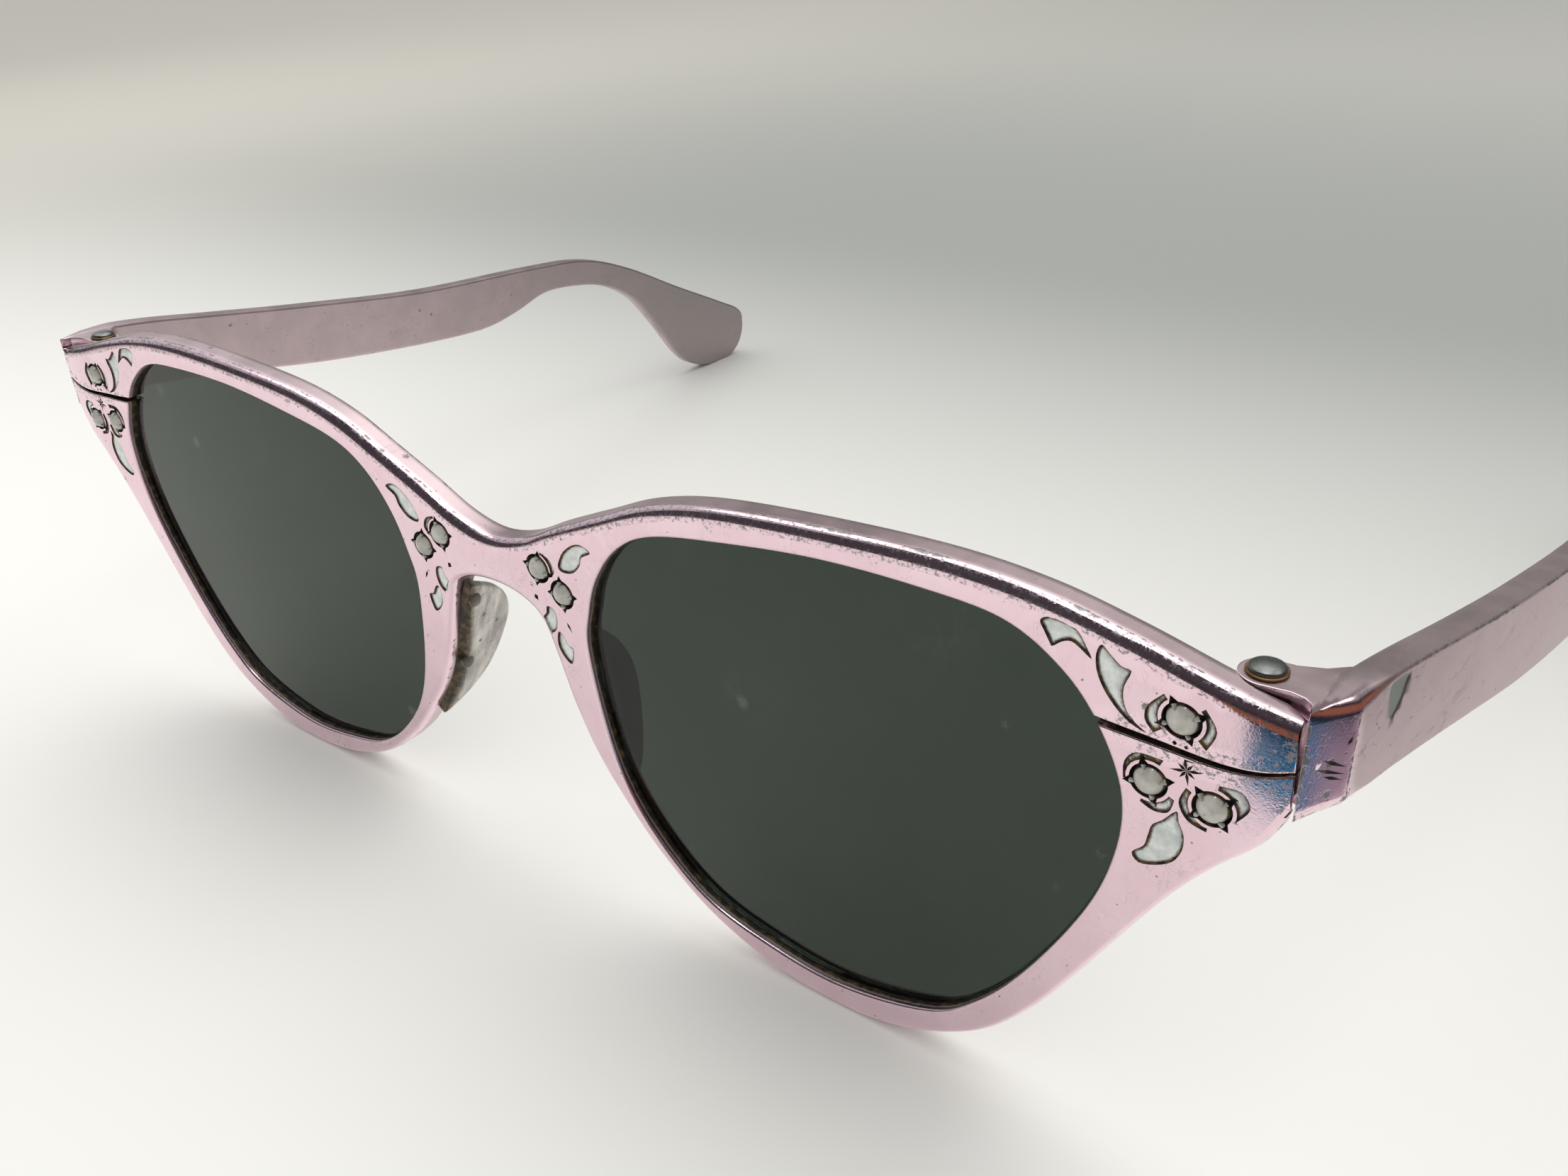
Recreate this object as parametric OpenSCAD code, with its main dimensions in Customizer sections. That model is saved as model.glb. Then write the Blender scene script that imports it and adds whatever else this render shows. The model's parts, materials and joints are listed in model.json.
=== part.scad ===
// Cat eye sunglasses: a one-piece metal front with two tinted lenses,
// set pearls, riveted nose pads and two folding temples on screwed hinges.
// Millimetres, +Z up. The lenses look along -Y, the temples run along +Y,
// and the wearer's left is +X. The origin is under the middle of the object,
// on the surface that the rim bottoms and the temple tips rest on.

/* [Front] */
// Width of one lens opening
lens_w = 46; // [44:0.5:48]
// Height of one lens opening
lens_h = 38; // [37:0.5:39]
// Distance between the two lens openings, across the nose
bridge_w = 21.2; // [20:0.2:23]
// Thickness of the front
front_t = 2.6; // [2.4:0.1:3]
// Width of the bevel around the face
bevel_w = 0.6; // [0.3:0.1:0.8]
// Depth of the bevel around the face
bevel_d = 0.8; // [0.4:0.1:1]
// Height of the saw slit beside the lens, where it is widest
slit_h = 0.5; // [0.3:0.05:0.7]

/* [Lenses] */
// Thickness of a lens
lens_t = 1.7; // [1.4:0.1:1.8]
// How far a lens sits behind the face
lens_back = 0.6; // [0.5:0.1:0.7]
// Depth of the groove that holds the lens edge
groove_d = 0.5; // [0.3:0.1:0.6]

/* [Trim] */
// Diameter of a pearl
pearl_d = 2.2; // [1.8:0.1:2.4]
// Thickness of a nose pad
pad_t = 0.9; // [0.7:0.1:1.1]
// How far the nose pads reach behind the face
pad_reach = 7.6; // [7:0.1:8]
// Angle that the nose pads flare out at, behind the front
pad_flare = 9; // [4:1:12]

/* [Temples] */
// Depth of the object, from the face to the temple tips
depth = 127; // [122:1:132]
// Thickness of a temple
temple_t = 2.3; // [2:0.1:2.6]
// Thickness of a hinge ear
ear_t = 1.2; // [1:0.1:1.3]

/* [Hinges] */
// Diameter of the hinge barrel
barrel_d = 1.5; // [1.3:0.05:1.6]
// Radial clearance between the barrel and the lug that turns on it
hinge_fit = 0.04; // [0.02:0.01:0.08]
// Thickness of a hinge washer
washer_t = 0.18; // [0.12:0.02:0.24]

/* [Hidden] */
$fn = 48;

// The inner edge and the bottom of the left lens opening.
lens_in = bridge_w / 2;
lens_low = 2.4;
// Gap between the front and the temples.
slot_gap = 0.1;
// Cuts start this much outside a face, so that no skin is left.
eps = 0.01;

// Outline of the left half of the front, from the top of the bridge over the brow to the end.
brow_pts = [
    [0, 33.1], [4, 33.9], [8, 35.8], [13, 38], [18, 40.1], [24, 41.5], [33, 42.35],
    [43, 42.75], [50, 42.3], [56, 41.1], [62, 39.5], [66.1, 38.6]
];
// From the foot of the end face, round under the lens and up the nose to the bridge.
under_pts = [
    [66.35, 32.4], [65, 29.8], [62.5, 27], [60, 23.6], [57, 18.6], [54, 13.4], [51.2, 9],
    [48, 5.2], [44.5, 2.7], [40.5, 0.9], [36.5, 0], [33, 0], [29, 0.4], [25, 1.5], [20.5, 3.7],
    [16, 7.4], [12.8, 11.1], [10, 15.1], [8, 19.5], [6.6, 24], [5.4, 27], [3.2, 28.4], [0, 28.85]
];
// Lens opening, with its inner edge at x = 0 and its bottom at z = 0, for a 46 x 38 lens.
eye_pts = [
    [0, 22.6], [0.6, 26.8], [2, 30.4], [4.6, 33.6], [8.4, 35.6], [15.4, 36.9], [23.4, 37.85],
    [31.4, 38], [37.4, 37.5], [41.4, 35.3], [44, 32.2], [45.8, 27.8], [45.7, 23.1], [44, 17.6],
    [40.2, 10.4], [36.3, 5.1], [32.1, 1.9], [24.4, 0], [17.4, 0.45], [10.4, 2.45],
    [4.7, 7.6], [1.6, 13.6]
];
// Middle line of the slit, from the lens opening out to the end face.
slit_pts = [[53.8, 35], [58, 34.8], [62, 34.6], [64.5, 34.85], [66.6, 35.6]];

// Side view of a temple as [y, z]: along the top to the tip, and back along the bottom.
temple_top = [
    [2, 39.5], [6.5, 39.3], [12, 38.4], [20, 36.7], [34, 33.85], [54, 30.3], [76, 28], [88, 26.3],
    [98, 22.6], [110, 16.4], [121, 10.9], [126.2, 8], [127, 5], [125.6, 1.8], [122.5, 0]
];
temple_low = [
    [118, 0], [113.2, 1.2], [109, 4.4], [103, 12.2], [98, 17.6], [91.5, 21.2], [85, 22.9],
    [78, 23.6], [71, 22.3], [63.5, 21.8], [50, 23.4], [34, 26.2], [20, 29.4], [10, 31.4], [5, 32]
];
block_low = 32.2;

// Hinge axis, and the heights of the hinge stack.
pin_x = 63.05;
pin_y = 3.55;
ear_top = 39.5;
ear_low = 32.6;
lobe_r = 1.65;
// The screw that closes the hollow barrel, and how far it goes in.
screw_d = barrel_d * 0.6;
screw_in = 4.2;
upper_washer_d = 2.5;
lower_washer_d = 2.4;
end_x = 66.35;
temple_x = end_x + slot_gap;

// The groove's front and back walls, inwards from the lens faces, and the play of the lens in it.
groove_front = 0.4;
groove_back = 0.1;
lens_play = 0.03;

// Pearl centres on the left half, as [x, z].
pearl_top = [59.7, 36.85];
pearl_inner = [58.1, 31.95];
pearl_outer = [62.05, 31.5];
bridge_pearl_upper = [6, 31.9];
bridge_pearl_lower = [8.5, 30.2];
pearl_seats = [pearl_top, pearl_inner, pearl_outer, bridge_pearl_upper, bridge_pearl_lower];
seat_gap = 0.12;
seat_deep = 0.8;
// How far below the face the middle of a pearl's ball is, and where its round foot ends.
pearl_sink = 0.55;
foot_end = 0.15;

// Heights of the two rivets of a nose pad.
rivet_z = [24.8, 17.6];
rivet_y = 1.95;
rivet_r = 0.45;
rivet_head_h = 0.35;
// How deep a rivet goes into the rim.
rivet_in = 1.05;

// One point of the smooth curve through b and c, with the neighbours a and d.
function bend(a, b, c, d, t) =
    0.5 * (2 * b + (c - a) * t + (2 * a - 5 * b + 4 * c - d) * t * t
        + (3 * b - a - 3 * c + d) * t * t * t);

// A smooth open curve through the points, with k steps between two of them.
function open_curve(p, k) = concat(
    [for (i = [0 : len(p) - 2], j = [0 : k - 1])
        bend(p[max(i - 1, 0)], p[i], p[i + 1], p[min(i + 2, len(p) - 1)], j / k)],
    [p[len(p) - 1]]
);

// A smooth closed curve through the points.
function closed_curve(p, k) = [
    for (i = [0 : len(p) - 1], j = [0 : k - 1])
        bend(p[(i + len(p) - 1) % len(p)], p[i], p[(i + 1) % len(p)], p[(i + 2) % len(p)], j / k)
];

function unit(v) = v / norm(v);
function turned(v) = [v[1], -v[0]];

// A closed clockwise outline moved inwards by d, with sharp corners kept sharp.
function moved(p, d) = [
    for (i = [0 : len(p) - 1])
        let (n = len(p),
            m1 = turned(unit(p[i] - p[(i + n - 1) % n])),
            m2 = turned(unit(p[(i + 1) % n] - p[i])))
        p[i] + d * (m1 + m2) / (1 + m1 * m2)
];

// Keeps a curve from dipping under the surface that the object rests on.
function grounded(p) = [for (q = p) [q[0], max(q[1], 0)]];

// The mirror image of a list of points, read backwards.
function mirrored(p) = [for (i = [len(p) - 1 : -1 : 0]) [-p[i][0], p[i][1]]];
function without_last(p) = [for (i = [0 : len(p) - 2]) p[i]];
function without_last_mirror(p) = without_last(mirrored(p));

// The whole front, clockwise, and one lens opening, clockwise.
brow_line = open_curve(concat(without_last_mirror(brow_pts), brow_pts), 3);
under_line = grounded(open_curve(concat(without_last(under_pts), mirrored(under_pts)), 3));
front_line = concat(brow_line, under_line);
eye_line = [
    for (p = closed_curve(eye_pts, 5))
        [lens_in + p[0] * lens_w / 46, lens_low + p[1] * lens_h / 38]
];

// The outer face of a temple, as its distance from the middle at the depth y.
bow_y = 3.5;
function temple_outer(y) = 68.4 + 0.17 * (y - bow_y) - 0.0008 * (y - bow_y) * (y - bow_y);
function temple_inner(y) = temple_outer(y) - temple_t + 0.5 * max(y - 60, 0) / depth;

// Puts a thing that is drawn from the face (y = 0) into the object's own frame.
module placed() {
    translate([0, -depth / 2, 0]) children();
}

// Mirrors a left-hand thing to the right when side is -1.
module sided(side) {
    placed() {
        if (side > 0) children();
        if (side < 0) mirror([1, 0, 0]) children();
    }
}

// A flat shape given as [x, z], made solid from depth y0 to depth y1.
module slab(points, y0, y1) {
    translate([0, y1, 0]) rotate([90, 0, 0]) linear_extrude(y1 - y0) polygon(points);
}

// The plate of the front, before anything is cut from it: its rounded bevel is made of thin layers.
module plate() {
    layers = 3;
    for (k = [0 : layers - 1]) {
        turn = acos(1 - (k + 0.5) / layers);
        slab(moved(front_line, bevel_w * (1 - sin(turn))), bevel_d * k / layers, front_t);
    }
    slab(front_line, bevel_d, front_t);
}

// The saw slit that lets a lens in, through the front and its hinge lug.
module slit() {
    line = open_curve(slit_pts, 4);
    n = len(line);
    upper = [for (i = [0 : n - 1]) line[i] + [0, slit_h * (1 - 0.7 * i / (n - 1)) / 2]];
    lower = [for (i = [n - 1 : -1 : 0]) line[i] - [0, slit_h * (1 - 0.7 * i / (n - 1)) / 2]];
    slab(concat(upper, lower), -1, 9);
}

// The round lug behind each end of the front.
module lug() {
    low = ear_low + ear_t + slot_gap;
    high = ear_top - ear_t - slot_gap;
    translate([pin_x, pin_y, low]) cylinder(r = lobe_r, h = high - low);
    translate([pin_x - lobe_r, front_t - 1, low])
        cube([2 * lobe_r, pin_y - front_t + 1, high - low]);
}

// The room that a hinge ear turns in, from the height z0 to z1.
module ear_room(z0, z1) {
    translate([pin_x, pin_y, z0]) cylinder(r = lobe_r + slot_gap, h = z1 - z0);
    translate([0, 0, z0]) linear_extrude(z1 - z0) polygon([
        [pin_x, pin_y - lobe_r - slot_gap], [64.9, 1.83], [65.6, 1.45], [66.05, 0.9], [66.3, 0.2],
        [69, 0.2], [69, 8], [pin_x, 8]
    ]);
}

module pearl_seat(p) {
    translate([p[0], seat_deep, p[1]]) rotate([90, 0, 0])
        cylinder(d = pearl_d + 2 * seat_gap, h = seat_deep + 1);
}

// Distance of the nose side of the rim from the middle, at a rivet's height.
function nose_x(z) = lookup(z, [for (p = under_pts) if (p[0] < 13 && p[0] > 3) [p[1], p[0]]]);

module rivet_hole(z, r, reach) {
    translate([nose_x(z) - 2, rivet_y, z]) rotate([0, 90, 0]) cylinder(r = r, h = reach);
}

// Everything that is cut from one half of the plate.
module half_cuts() {
    slab(eye_line, -1, front_t + 1);
    slab(moved(eye_line, -groove_d - lens_play), lens_back + groove_front, lens_back + lens_t - groove_back);
    slit();
    ear_room(ear_top - ear_t - slot_gap, ear_top + 4);
    ear_room(ear_low - 1.1, ear_low + ear_t + slot_gap);
    translate([pin_x, pin_y, 20]) cylinder(d = barrel_d + 2 * hinge_fit, h = 30);
    for (p = pearl_seats) pearl_seat(p);
    for (z = rivet_z) rivet_hole(z, rivet_r, 3.2);
}

module front_frame() {
    color("pink") placed() difference() {
        union() {
            plate();
            lug();
            mirror([1, 0, 0]) lug();
        }
        half_cuts();
        mirror([1, 0, 0]) half_cuts();
    }
}

module lens(side) {
    color("darkslategray") sided(side) {
        slab(moved(eye_line, lens_play), lens_back, lens_back + lens_t);
        slab(moved(eye_line, -groove_d), lens_back + groove_front + lens_play,
            lens_back + lens_t - groove_back - lens_play);
    }
}

// Side view of a nose pad as [y, z], from its top corner at the rim, back and down.
function pad_profile() = open_curve([
    [1.2, 27.2], [3, 26.2], [5.2, 24.7], [pad_reach - 0.7, 22.8], [pad_reach, 20.6],
    [pad_reach - 0.3, 18.3], [pad_reach - 1.1, 16], [pad_reach - 2.2, 14], [3.8, 12.4], [2, 11.4], [1.2, 11.3]
], 3);

// A curved wing on the nose side of the rim: straight beside the rim, then flared.
module nose_pad(side) {
    nasal = [for (p = under_line) if (p[0] < 13.5 && p[0] > 5) p];
    inner = [for (i = [len(nasal) - 1 : -1 : 0]) nasal[i]
        - pad_t * unit(turned(nasal[min(i + 1, len(nasal) - 1)] - nasal[max(i - 1, 0)]))];
    strip = concat(nasal, inner);
    bend_x = 8;
    color("silver") sided(side) difference() {
        intersection() {
            union() {
                slab(strip, 1.2, front_t);
                translate([bend_x, front_t, 0]) rotate([0, 0, -pad_flare]) translate([-bend_x, -front_t, 0])
                    slab(strip, front_t - 0.1, pad_reach + 1);
            }
            rotate([90, 0, 90]) linear_extrude(20) polygon(pad_profile());
        }
        for (z = rivet_z) rivet_hole(z, rivet_r, 3.2);
    }
}

module pad_rivets(side) {
    color("gray") sided(side) for (z = rivet_z) {
        translate([nose_x(z) - pad_t - rivet_head_h, rivet_y, z]) rotate([0, 90, 0]) {
            cylinder(r = rivet_r, h = rivet_head_h + pad_t + rivet_in);
            cylinder(r1 = rivet_r * 0.9, r2 = rivet_r * 1.6, h = rivet_head_h);
        }
    }
}

// A half pearl, flat side down in its seat.
module pearl(side, p) {
    color("gainsboro") sided(side) translate([p[0], 0, p[1]]) rotate([90, 0, 0]) {
        translate([0, 0, -seat_deep]) cylinder(d = pearl_d, h = seat_deep - foot_end);
        intersection() {
            translate([0, 0, -pearl_sink]) sphere(d = pearl_d);
            translate([-pearl_d, -pearl_d, -seat_deep]) cube(2 * pearl_d);
        }
    }
}

// The flat shape of an ear, seen from above, out to the temple block.
module ear(z0) {
    translate([pin_x, pin_y, z0]) cylinder(r = lobe_r, h = ear_t);
    translate([0, 0, z0]) linear_extrude(ear_t) polygon([
        [pin_x, pin_y - lobe_r], [64.9, 1.98], [65.7, 1.55], [66.2, 1], [66.45, 0.5], [68.2, 3.4],
        [68, 7.6], [66.7, 7], [65.7, 5.9], [64.2, 5.25], [pin_x, pin_y + lobe_r]
    ]);
}

module temple(side) {
    steps = 24;
    block_y = 6.6;
    outer = [for (i = [0 : steps]) let (y = bow_y + (depth - bow_y) * i / steps) [temple_outer(y), y]];
    inner = [for (i = [steps : -1 : 0])
        let (y = block_y + (depth - block_y) * i / steps) [temple_inner(y), y]];
    rounded = grounded(open_curve(concat(temple_top, temple_low), 4));
    profile = concat(rounded, [[0, block_low], [0, ear_top]]);
    color("pink") sided(side) difference() {
        union() {
            intersection() {
                linear_extrude(60) polygon(concat([[temple_x, 0.45]], outer, inner, [[temple_x, block_y]]));
                translate([50, 0, 0]) rotate([90, 0, 90]) linear_extrude(50) polygon(profile);
            }
            ear(ear_low);
            ear(ear_top - ear_t);
        }
        translate([pin_x, pin_y, 20]) cylinder(d = barrel_d, h = 30);
    }
}

// A blank domed head on a hollow barrel.
module hinge_barrel(side) {
    head_r = 1.1;
    head_rim = 0.1;
    head_dome = 0.3;
    color("silver") sided(side) translate([pin_x, pin_y, 0]) difference() {
        union() {
            translate([0, 0, ear_low + 0.1]) cylinder(d = barrel_d, h = ear_top - ear_low + washer_t);
            translate([0, 0, ear_top + washer_t]) rotate_extrude() polygon(concat(
                [[0, 0]],
                [for (a = [0 : 15 : 90]) [head_r * cos(a), head_rim + head_dome * sin(a)]]
            ));
        }
        translate([0, 0, ear_low - 1]) cylinder(d = screw_d, h = 1 + screw_in + 0.4);
    }
}

// The slotted screw that closes the barrel from below.
module hinge_screw(side) {
    head_h = 0.5;
    slot_w = 0.34;
    slot_deep = 0.25;
    color("silver") sided(side) translate([pin_x, pin_y, ear_low - washer_t - head_h]) difference() {
        union() {
            cylinder(d = 2.1, h = head_h);
            cylinder(d = screw_d, h = head_h + washer_t + screw_in);
        }
        translate([-2, -slot_w / 2, -eps]) cube([4, slot_w, slot_deep]);
    }
}

module washer(side, z, d) {
    color("peru") sided(side) translate([pin_x, pin_y, z]) difference() {
        cylinder(d = d, h = washer_t);
        translate([0, 0, -1]) cylinder(d = barrel_d, h = 2);
    }
}

front_frame();
lens(1);  // left_lens
lens(-1);  // right_lens
nose_pad(1);  // left_nose_pad
nose_pad(-1);  // right_nose_pad
pad_rivets(1);  // left_pad_rivets
pad_rivets(-1);  // right_pad_rivets
pearl(1, pearl_top);  // left_pearl_top
pearl(-1, pearl_top);  // right_pearl_top
pearl(1, pearl_inner);  // left_pearl_inner
pearl(-1, pearl_inner);  // right_pearl_inner
pearl(1, pearl_outer);  // left_pearl_outer
pearl(-1, pearl_outer);  // right_pearl_outer
pearl(1, bridge_pearl_upper);  // left_bridge_pearl_upper
pearl(-1, bridge_pearl_upper);  // right_bridge_pearl_upper
pearl(1, bridge_pearl_lower);  // left_bridge_pearl_lower
pearl(-1, bridge_pearl_lower);  // right_bridge_pearl_lower
temple(1);  // left_temple
temple(-1);  // right_temple
hinge_barrel(1);  // left_hinge_barrel
hinge_barrel(-1);  // right_hinge_barrel
hinge_screw(1);  // left_hinge_screw
hinge_screw(-1);  // right_hinge_screw
washer(1, ear_top, upper_washer_d);  // left_upper_washer
washer(-1, ear_top, upper_washer_d);  // right_upper_washer
washer(1, ear_low - washer_t, lower_washer_d);  // left_lower_washer
washer(-1, ear_low - washer_t, lower_washer_d);  // right_lower_washer
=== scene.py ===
"""Cat eye sunglasses: pink anodised aluminium, pearls in cut seats, dark green lenses.

Lengths are in millimetres from the face of the front (y = 0), the middle of the nose (x = 0) and
the table (z = 0); placed() takes them to the frame. Each piece given to fit() stands for the frame nodes
named there.
"""
import json
import math

import bmesh
import bpy
import numpy as np
from mathutils import Matrix, Vector
from mathutils.geometry import delaunay_2d_cdt

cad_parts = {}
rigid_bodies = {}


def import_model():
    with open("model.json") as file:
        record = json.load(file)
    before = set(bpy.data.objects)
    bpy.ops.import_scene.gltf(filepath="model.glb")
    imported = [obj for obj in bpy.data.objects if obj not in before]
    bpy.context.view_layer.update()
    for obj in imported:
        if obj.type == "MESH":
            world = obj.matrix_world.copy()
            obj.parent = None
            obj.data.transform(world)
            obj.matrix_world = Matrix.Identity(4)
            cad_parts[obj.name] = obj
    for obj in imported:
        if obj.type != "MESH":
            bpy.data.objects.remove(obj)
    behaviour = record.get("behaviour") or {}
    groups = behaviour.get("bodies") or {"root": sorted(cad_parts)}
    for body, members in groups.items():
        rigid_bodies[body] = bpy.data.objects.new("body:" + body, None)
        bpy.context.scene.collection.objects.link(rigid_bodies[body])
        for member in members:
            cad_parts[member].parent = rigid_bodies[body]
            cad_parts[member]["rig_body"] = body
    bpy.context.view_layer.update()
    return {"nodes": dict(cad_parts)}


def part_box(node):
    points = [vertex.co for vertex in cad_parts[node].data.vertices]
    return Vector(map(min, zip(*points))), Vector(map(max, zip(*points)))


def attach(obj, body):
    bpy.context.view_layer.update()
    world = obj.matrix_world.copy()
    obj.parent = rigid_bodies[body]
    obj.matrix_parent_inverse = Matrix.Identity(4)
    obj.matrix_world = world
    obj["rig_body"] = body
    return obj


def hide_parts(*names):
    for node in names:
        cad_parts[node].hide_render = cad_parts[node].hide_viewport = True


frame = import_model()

MM = 0.001
FACE_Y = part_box("front_frame")[0].y   # the face of the front, in the frame
TAU = 2 * math.pi

# ------------------------------------------------------------------ shapes of the front

BROW = [
    (0, 33.1), (4, 33.9), (8, 35.8), (13, 38), (18, 40.1), (24, 41.5), (33, 42.35),
    (43, 42.75), (50, 42.3), (56, 41.1), (62, 39.5), (66.1, 38.6)]
UNDER = [
    (66.35, 32.4), (65, 29.8), (62.5, 27), (60, 23.6), (57, 18.6), (54, 13.4), (51.2, 9),
    (48, 5.2), (44.5, 2.7), (40.5, 0.9), (36.5, 0), (33, 0), (29, 0.4), (25, 1.5), (20.5, 3.7),
    (16, 7.4), (12.8, 11.1), (10, 15.1), (8, 19.5), (6.6, 24), (5.4, 27), (3.2, 28.4), (0, 28.85)]
EYE = [
    (0, 22.6), (0.6, 26.8), (2, 30.4), (4.6, 33.6), (8.4, 35.6), (15.4, 36.9), (23.4, 37.85),
    (31.4, 38), (37.4, 37.5), (41.4, 35.3), (44, 32.2), (45.8, 27.8), (45.7, 23.1), (44, 17.6),
    (40.2, 10.4), (36.3, 5.1), (32.1, 1.9), (24.4, 0), (17.4, 0.45), (10.4, 2.45),
    (4.7, 7.6), (1.6, 13.6)]
EYE_CORNER = (10.6, 2.4)              # nose side and bottom of the lens opening
SLIT = [(53.8, 35), (58, 34.8), (62, 34.6), (64.5, 34.85), (66.6, 35.6)]
SLIT_WIDTH = (0.5, 0.15)              # at the lens, at the end
FRONT_T = 2.6
BEND_X, BEND = 61.5, 0.015            # the ends of the face bend back from here
END_BOW = 0.04                        # the line of the end is hardly bowed
CORNER_Z = 32.45                      # the wide bevel of the brow ends at this height
# Width and depth of the front bevel on each kind of edge
BEVEL = {
    "brow": (0.95, 0.8), "edge": (0.6, 0.8), "end": (0.1, 0.12), "slit": (0.12, 0.12),
    "eye": (0.26, 0.26)}
BACK_BEVEL = 0.15

# Hinge
PIN_X, PIN_Y = 63.05, 3.55
EAR_TOP, EAR_LOW, EAR_T = 39.5, 32.6, 1.2
LOBE_R = 1.65
SLOT_GAP = 0.1
BARREL_R = 0.75
WASHER_T = 0.18
UPPER_RING_R, LOWER_RING_R = 1.25, 1.2
HEAD_R, HEAD_RIM, HEAD_DOME = 1.1, 0.1, 0.3
THREAD_R = 0.45
BORE_DEEP = 3.6                       # the barrel's thread, from the lower ear
SLOT_WIDE = 0.34
SCREW_HEAD_R, SCREW_HEAD_T = 1.05, 0.5
EAR_ROOMS = [(EAR_TOP - EAR_T - SLOT_GAP, 44), (EAR_LOW - 1.1, EAR_LOW + EAR_T + SLOT_GAP)]
LUG_HALVES = [(EAR_LOW + EAR_T + SLOT_GAP, 34.62), (34.84, EAR_TOP - EAR_T - SLOT_GAP)]
LUG_FOOT_Y = 1.9                      # the lug starts inside the front
PLAN_BEVEL = 0.08
# Where an ear grows out of the block, seen from above
EAR_ROOT = [
    (64.9, 2.1), (65.7, 1.9), (66.2, 1.5), (66.5, 0.6), (67.7, 3.2), (67.7, 6.9), (66.7, 7),
    (65.7, 5.9), (64.2, 5.25)]

# Temple, as (y, z)
ARM_TOP = [
    (2, 39.5), (6.5, 39.3), (12, 38.4), (20, 36.7), (34, 33.85), (54, 30.3), (76, 28),
    (88, 26.3), (98, 22.6), (110, 16.4), (121, 10.9), (126.2, 8), (127, 5), (125.6, 1.8), (122.5, 0)]
ARM_LOW = [
    (118, 0), (113.2, 1.2), (109, 4.4), (103, 12.2), (98, 17.6), (91.5, 21.2), (85, 22.9),
    (78, 23.6), (71, 22.3), (63.5, 21.8), (50, 23.4), (34, 26.2), (20, 29.4), (10, 31.4), (5, 32)]
ARM_T = 2.3
ARM_IN = 66.45                        # inner side of the block
ARM_OUT = 68.4                        # outer side at the corner of the block
ARM_BOW = (0.17, 0.0008)              # the arm spreads, then comes back in
ARM_REACH = (77.425, 127)             # furthest x and y of the arm
BLOCK_LOW = [(3.5, 32.08), (2, 32.14), (0.5, 32.19)]
MITRE_Y, CORNER_Y, BLOCK_Y = 0.5, 3.5, 6.6
MITRE_FOOT_Y = 0.45                   # the mitred face would meet the inner side here
BLOCK_STEP = 0.35                     # length of the step behind the block

# Pearls, as (x, z)
PEARLS = {
    "pearl_top": (59.7, 36.85), "pearl_inner": (58.1, 31.95), "pearl_outer": (62.05, 31.5),
    "bridge_pearl_upper": (6, 31.9), "bridge_pearl_lower": (8.5, 30.2)}
PEARL_R = 1.1
PEARL_PROUD = 0.55
SEAT_DEEP = 0.8
SEAT_R, BRIDGE_SEAT_R = 1.24, 1.3
CLAW_TURN = [0.8, 2.4, 3.9, 5.5]

# Cut leaves of the outer corner and of the bridge, as (x, z)
LEAVES = [
    [(50.5, 40.7), (51, 41.1), (52.2, 41.1), (53, 40.7), (53.6, 39.8), (53.95, 39.1), (53.2, 39.6),
     (52.6, 39.9), (52, 39.7), (51.4, 39.2), (51.2, 39.4), (50.8, 40.1)],
    [(54.5, 40.3), (55, 39.9), (55.8, 39.25), (56.45, 39.1), (56.1, 38), (56.1, 37.1), (56.4, 36.3),
     (57, 35.7), (57.7, 35.25), (56.6, 35.6), (55.6, 36.4), (54.8, 37.4), (54.3, 38.5), (54.2, 39.6)],
    [(60, 30.5), (60.2, 29.8), (60.6, 28.9), (60.6, 27.8), (60.1, 26.7), (59.1, 26), (58, 25.7),
     (57.5, 26.3), (58.2, 27.1), (58.4, 28), (58.6, 28.9), (59.2, 29.5)],
    [(12.35, 34.95), (11.5, 35.4), (10.5, 35.2), (9.3, 34.3), (8.6, 33.2), (8.5, 32.6), (9, 32.35),
     (10.1, 32.6), (11, 33.5), (11.3, 34.3)],
    [(7.3, 28.4), (7.5, 27.5), (7.2, 26.5), (6.5, 26.1), (6.2, 26.6), (5.9, 27.4), (6.3, 27.9),
     (6.5, 28.6)],
    [(7.4, 26.4), (7.2, 25.2), (7.6, 24.3), (8.3, 23.7), (8.7, 23.9), (9, 25.2), (8.4, 25.5),
     (7.9, 26.3)],
]
# Petals beside a pearl: the pearl and the outer line of the petal
PETALS = [
    ("pearl_top", [(58.5, 38.3), (57.6, 37.2), (57.5, 36.2), (58.1, 35.45)]),
    ("pearl_top", [(61, 38.1), (61.8, 36.8), (61.3, 35.35)]),
    ("pearl_inner", [(58.9, 33.75), (57.2, 33.7), (56.5, 32.8), (56.5, 31.6)]),
    ("pearl_inner", [(57.7, 30.3), (58.6, 29.95), (59.5, 30.2), (59.8, 31.2)]),
    ("pearl_outer", [(62.3, 33.3), (63.6, 33.3), (64.2, 32.3), (63.5, 31.1)]),
    ("pearl_outer", [(60.4, 32.4), (60.05, 31.2), (60.7, 30.1), (61.9, 29.75)]),
    ("bridge_pearl_upper", [(6.5, 33.5), (7.5, 33.1), (7.95, 32.2), (7.6, 31.6)]),
]
# Short dark strokes of the graver: (start, end, half width)
STROKES = [
    ((59.4, 35.4), (59.45, 34.95), 0.16), ((60.15, 35.3), (60.1, 34.9), 0.16),
    ((5.2, 29.35), (5.55, 28.85), 0.26), ((8.6, 27.7), (9.1, 26.8), 0.13)]
STAR_AT, STAR_RAYS = (60.3, 33.55), (1.05, 0.7)
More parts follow.
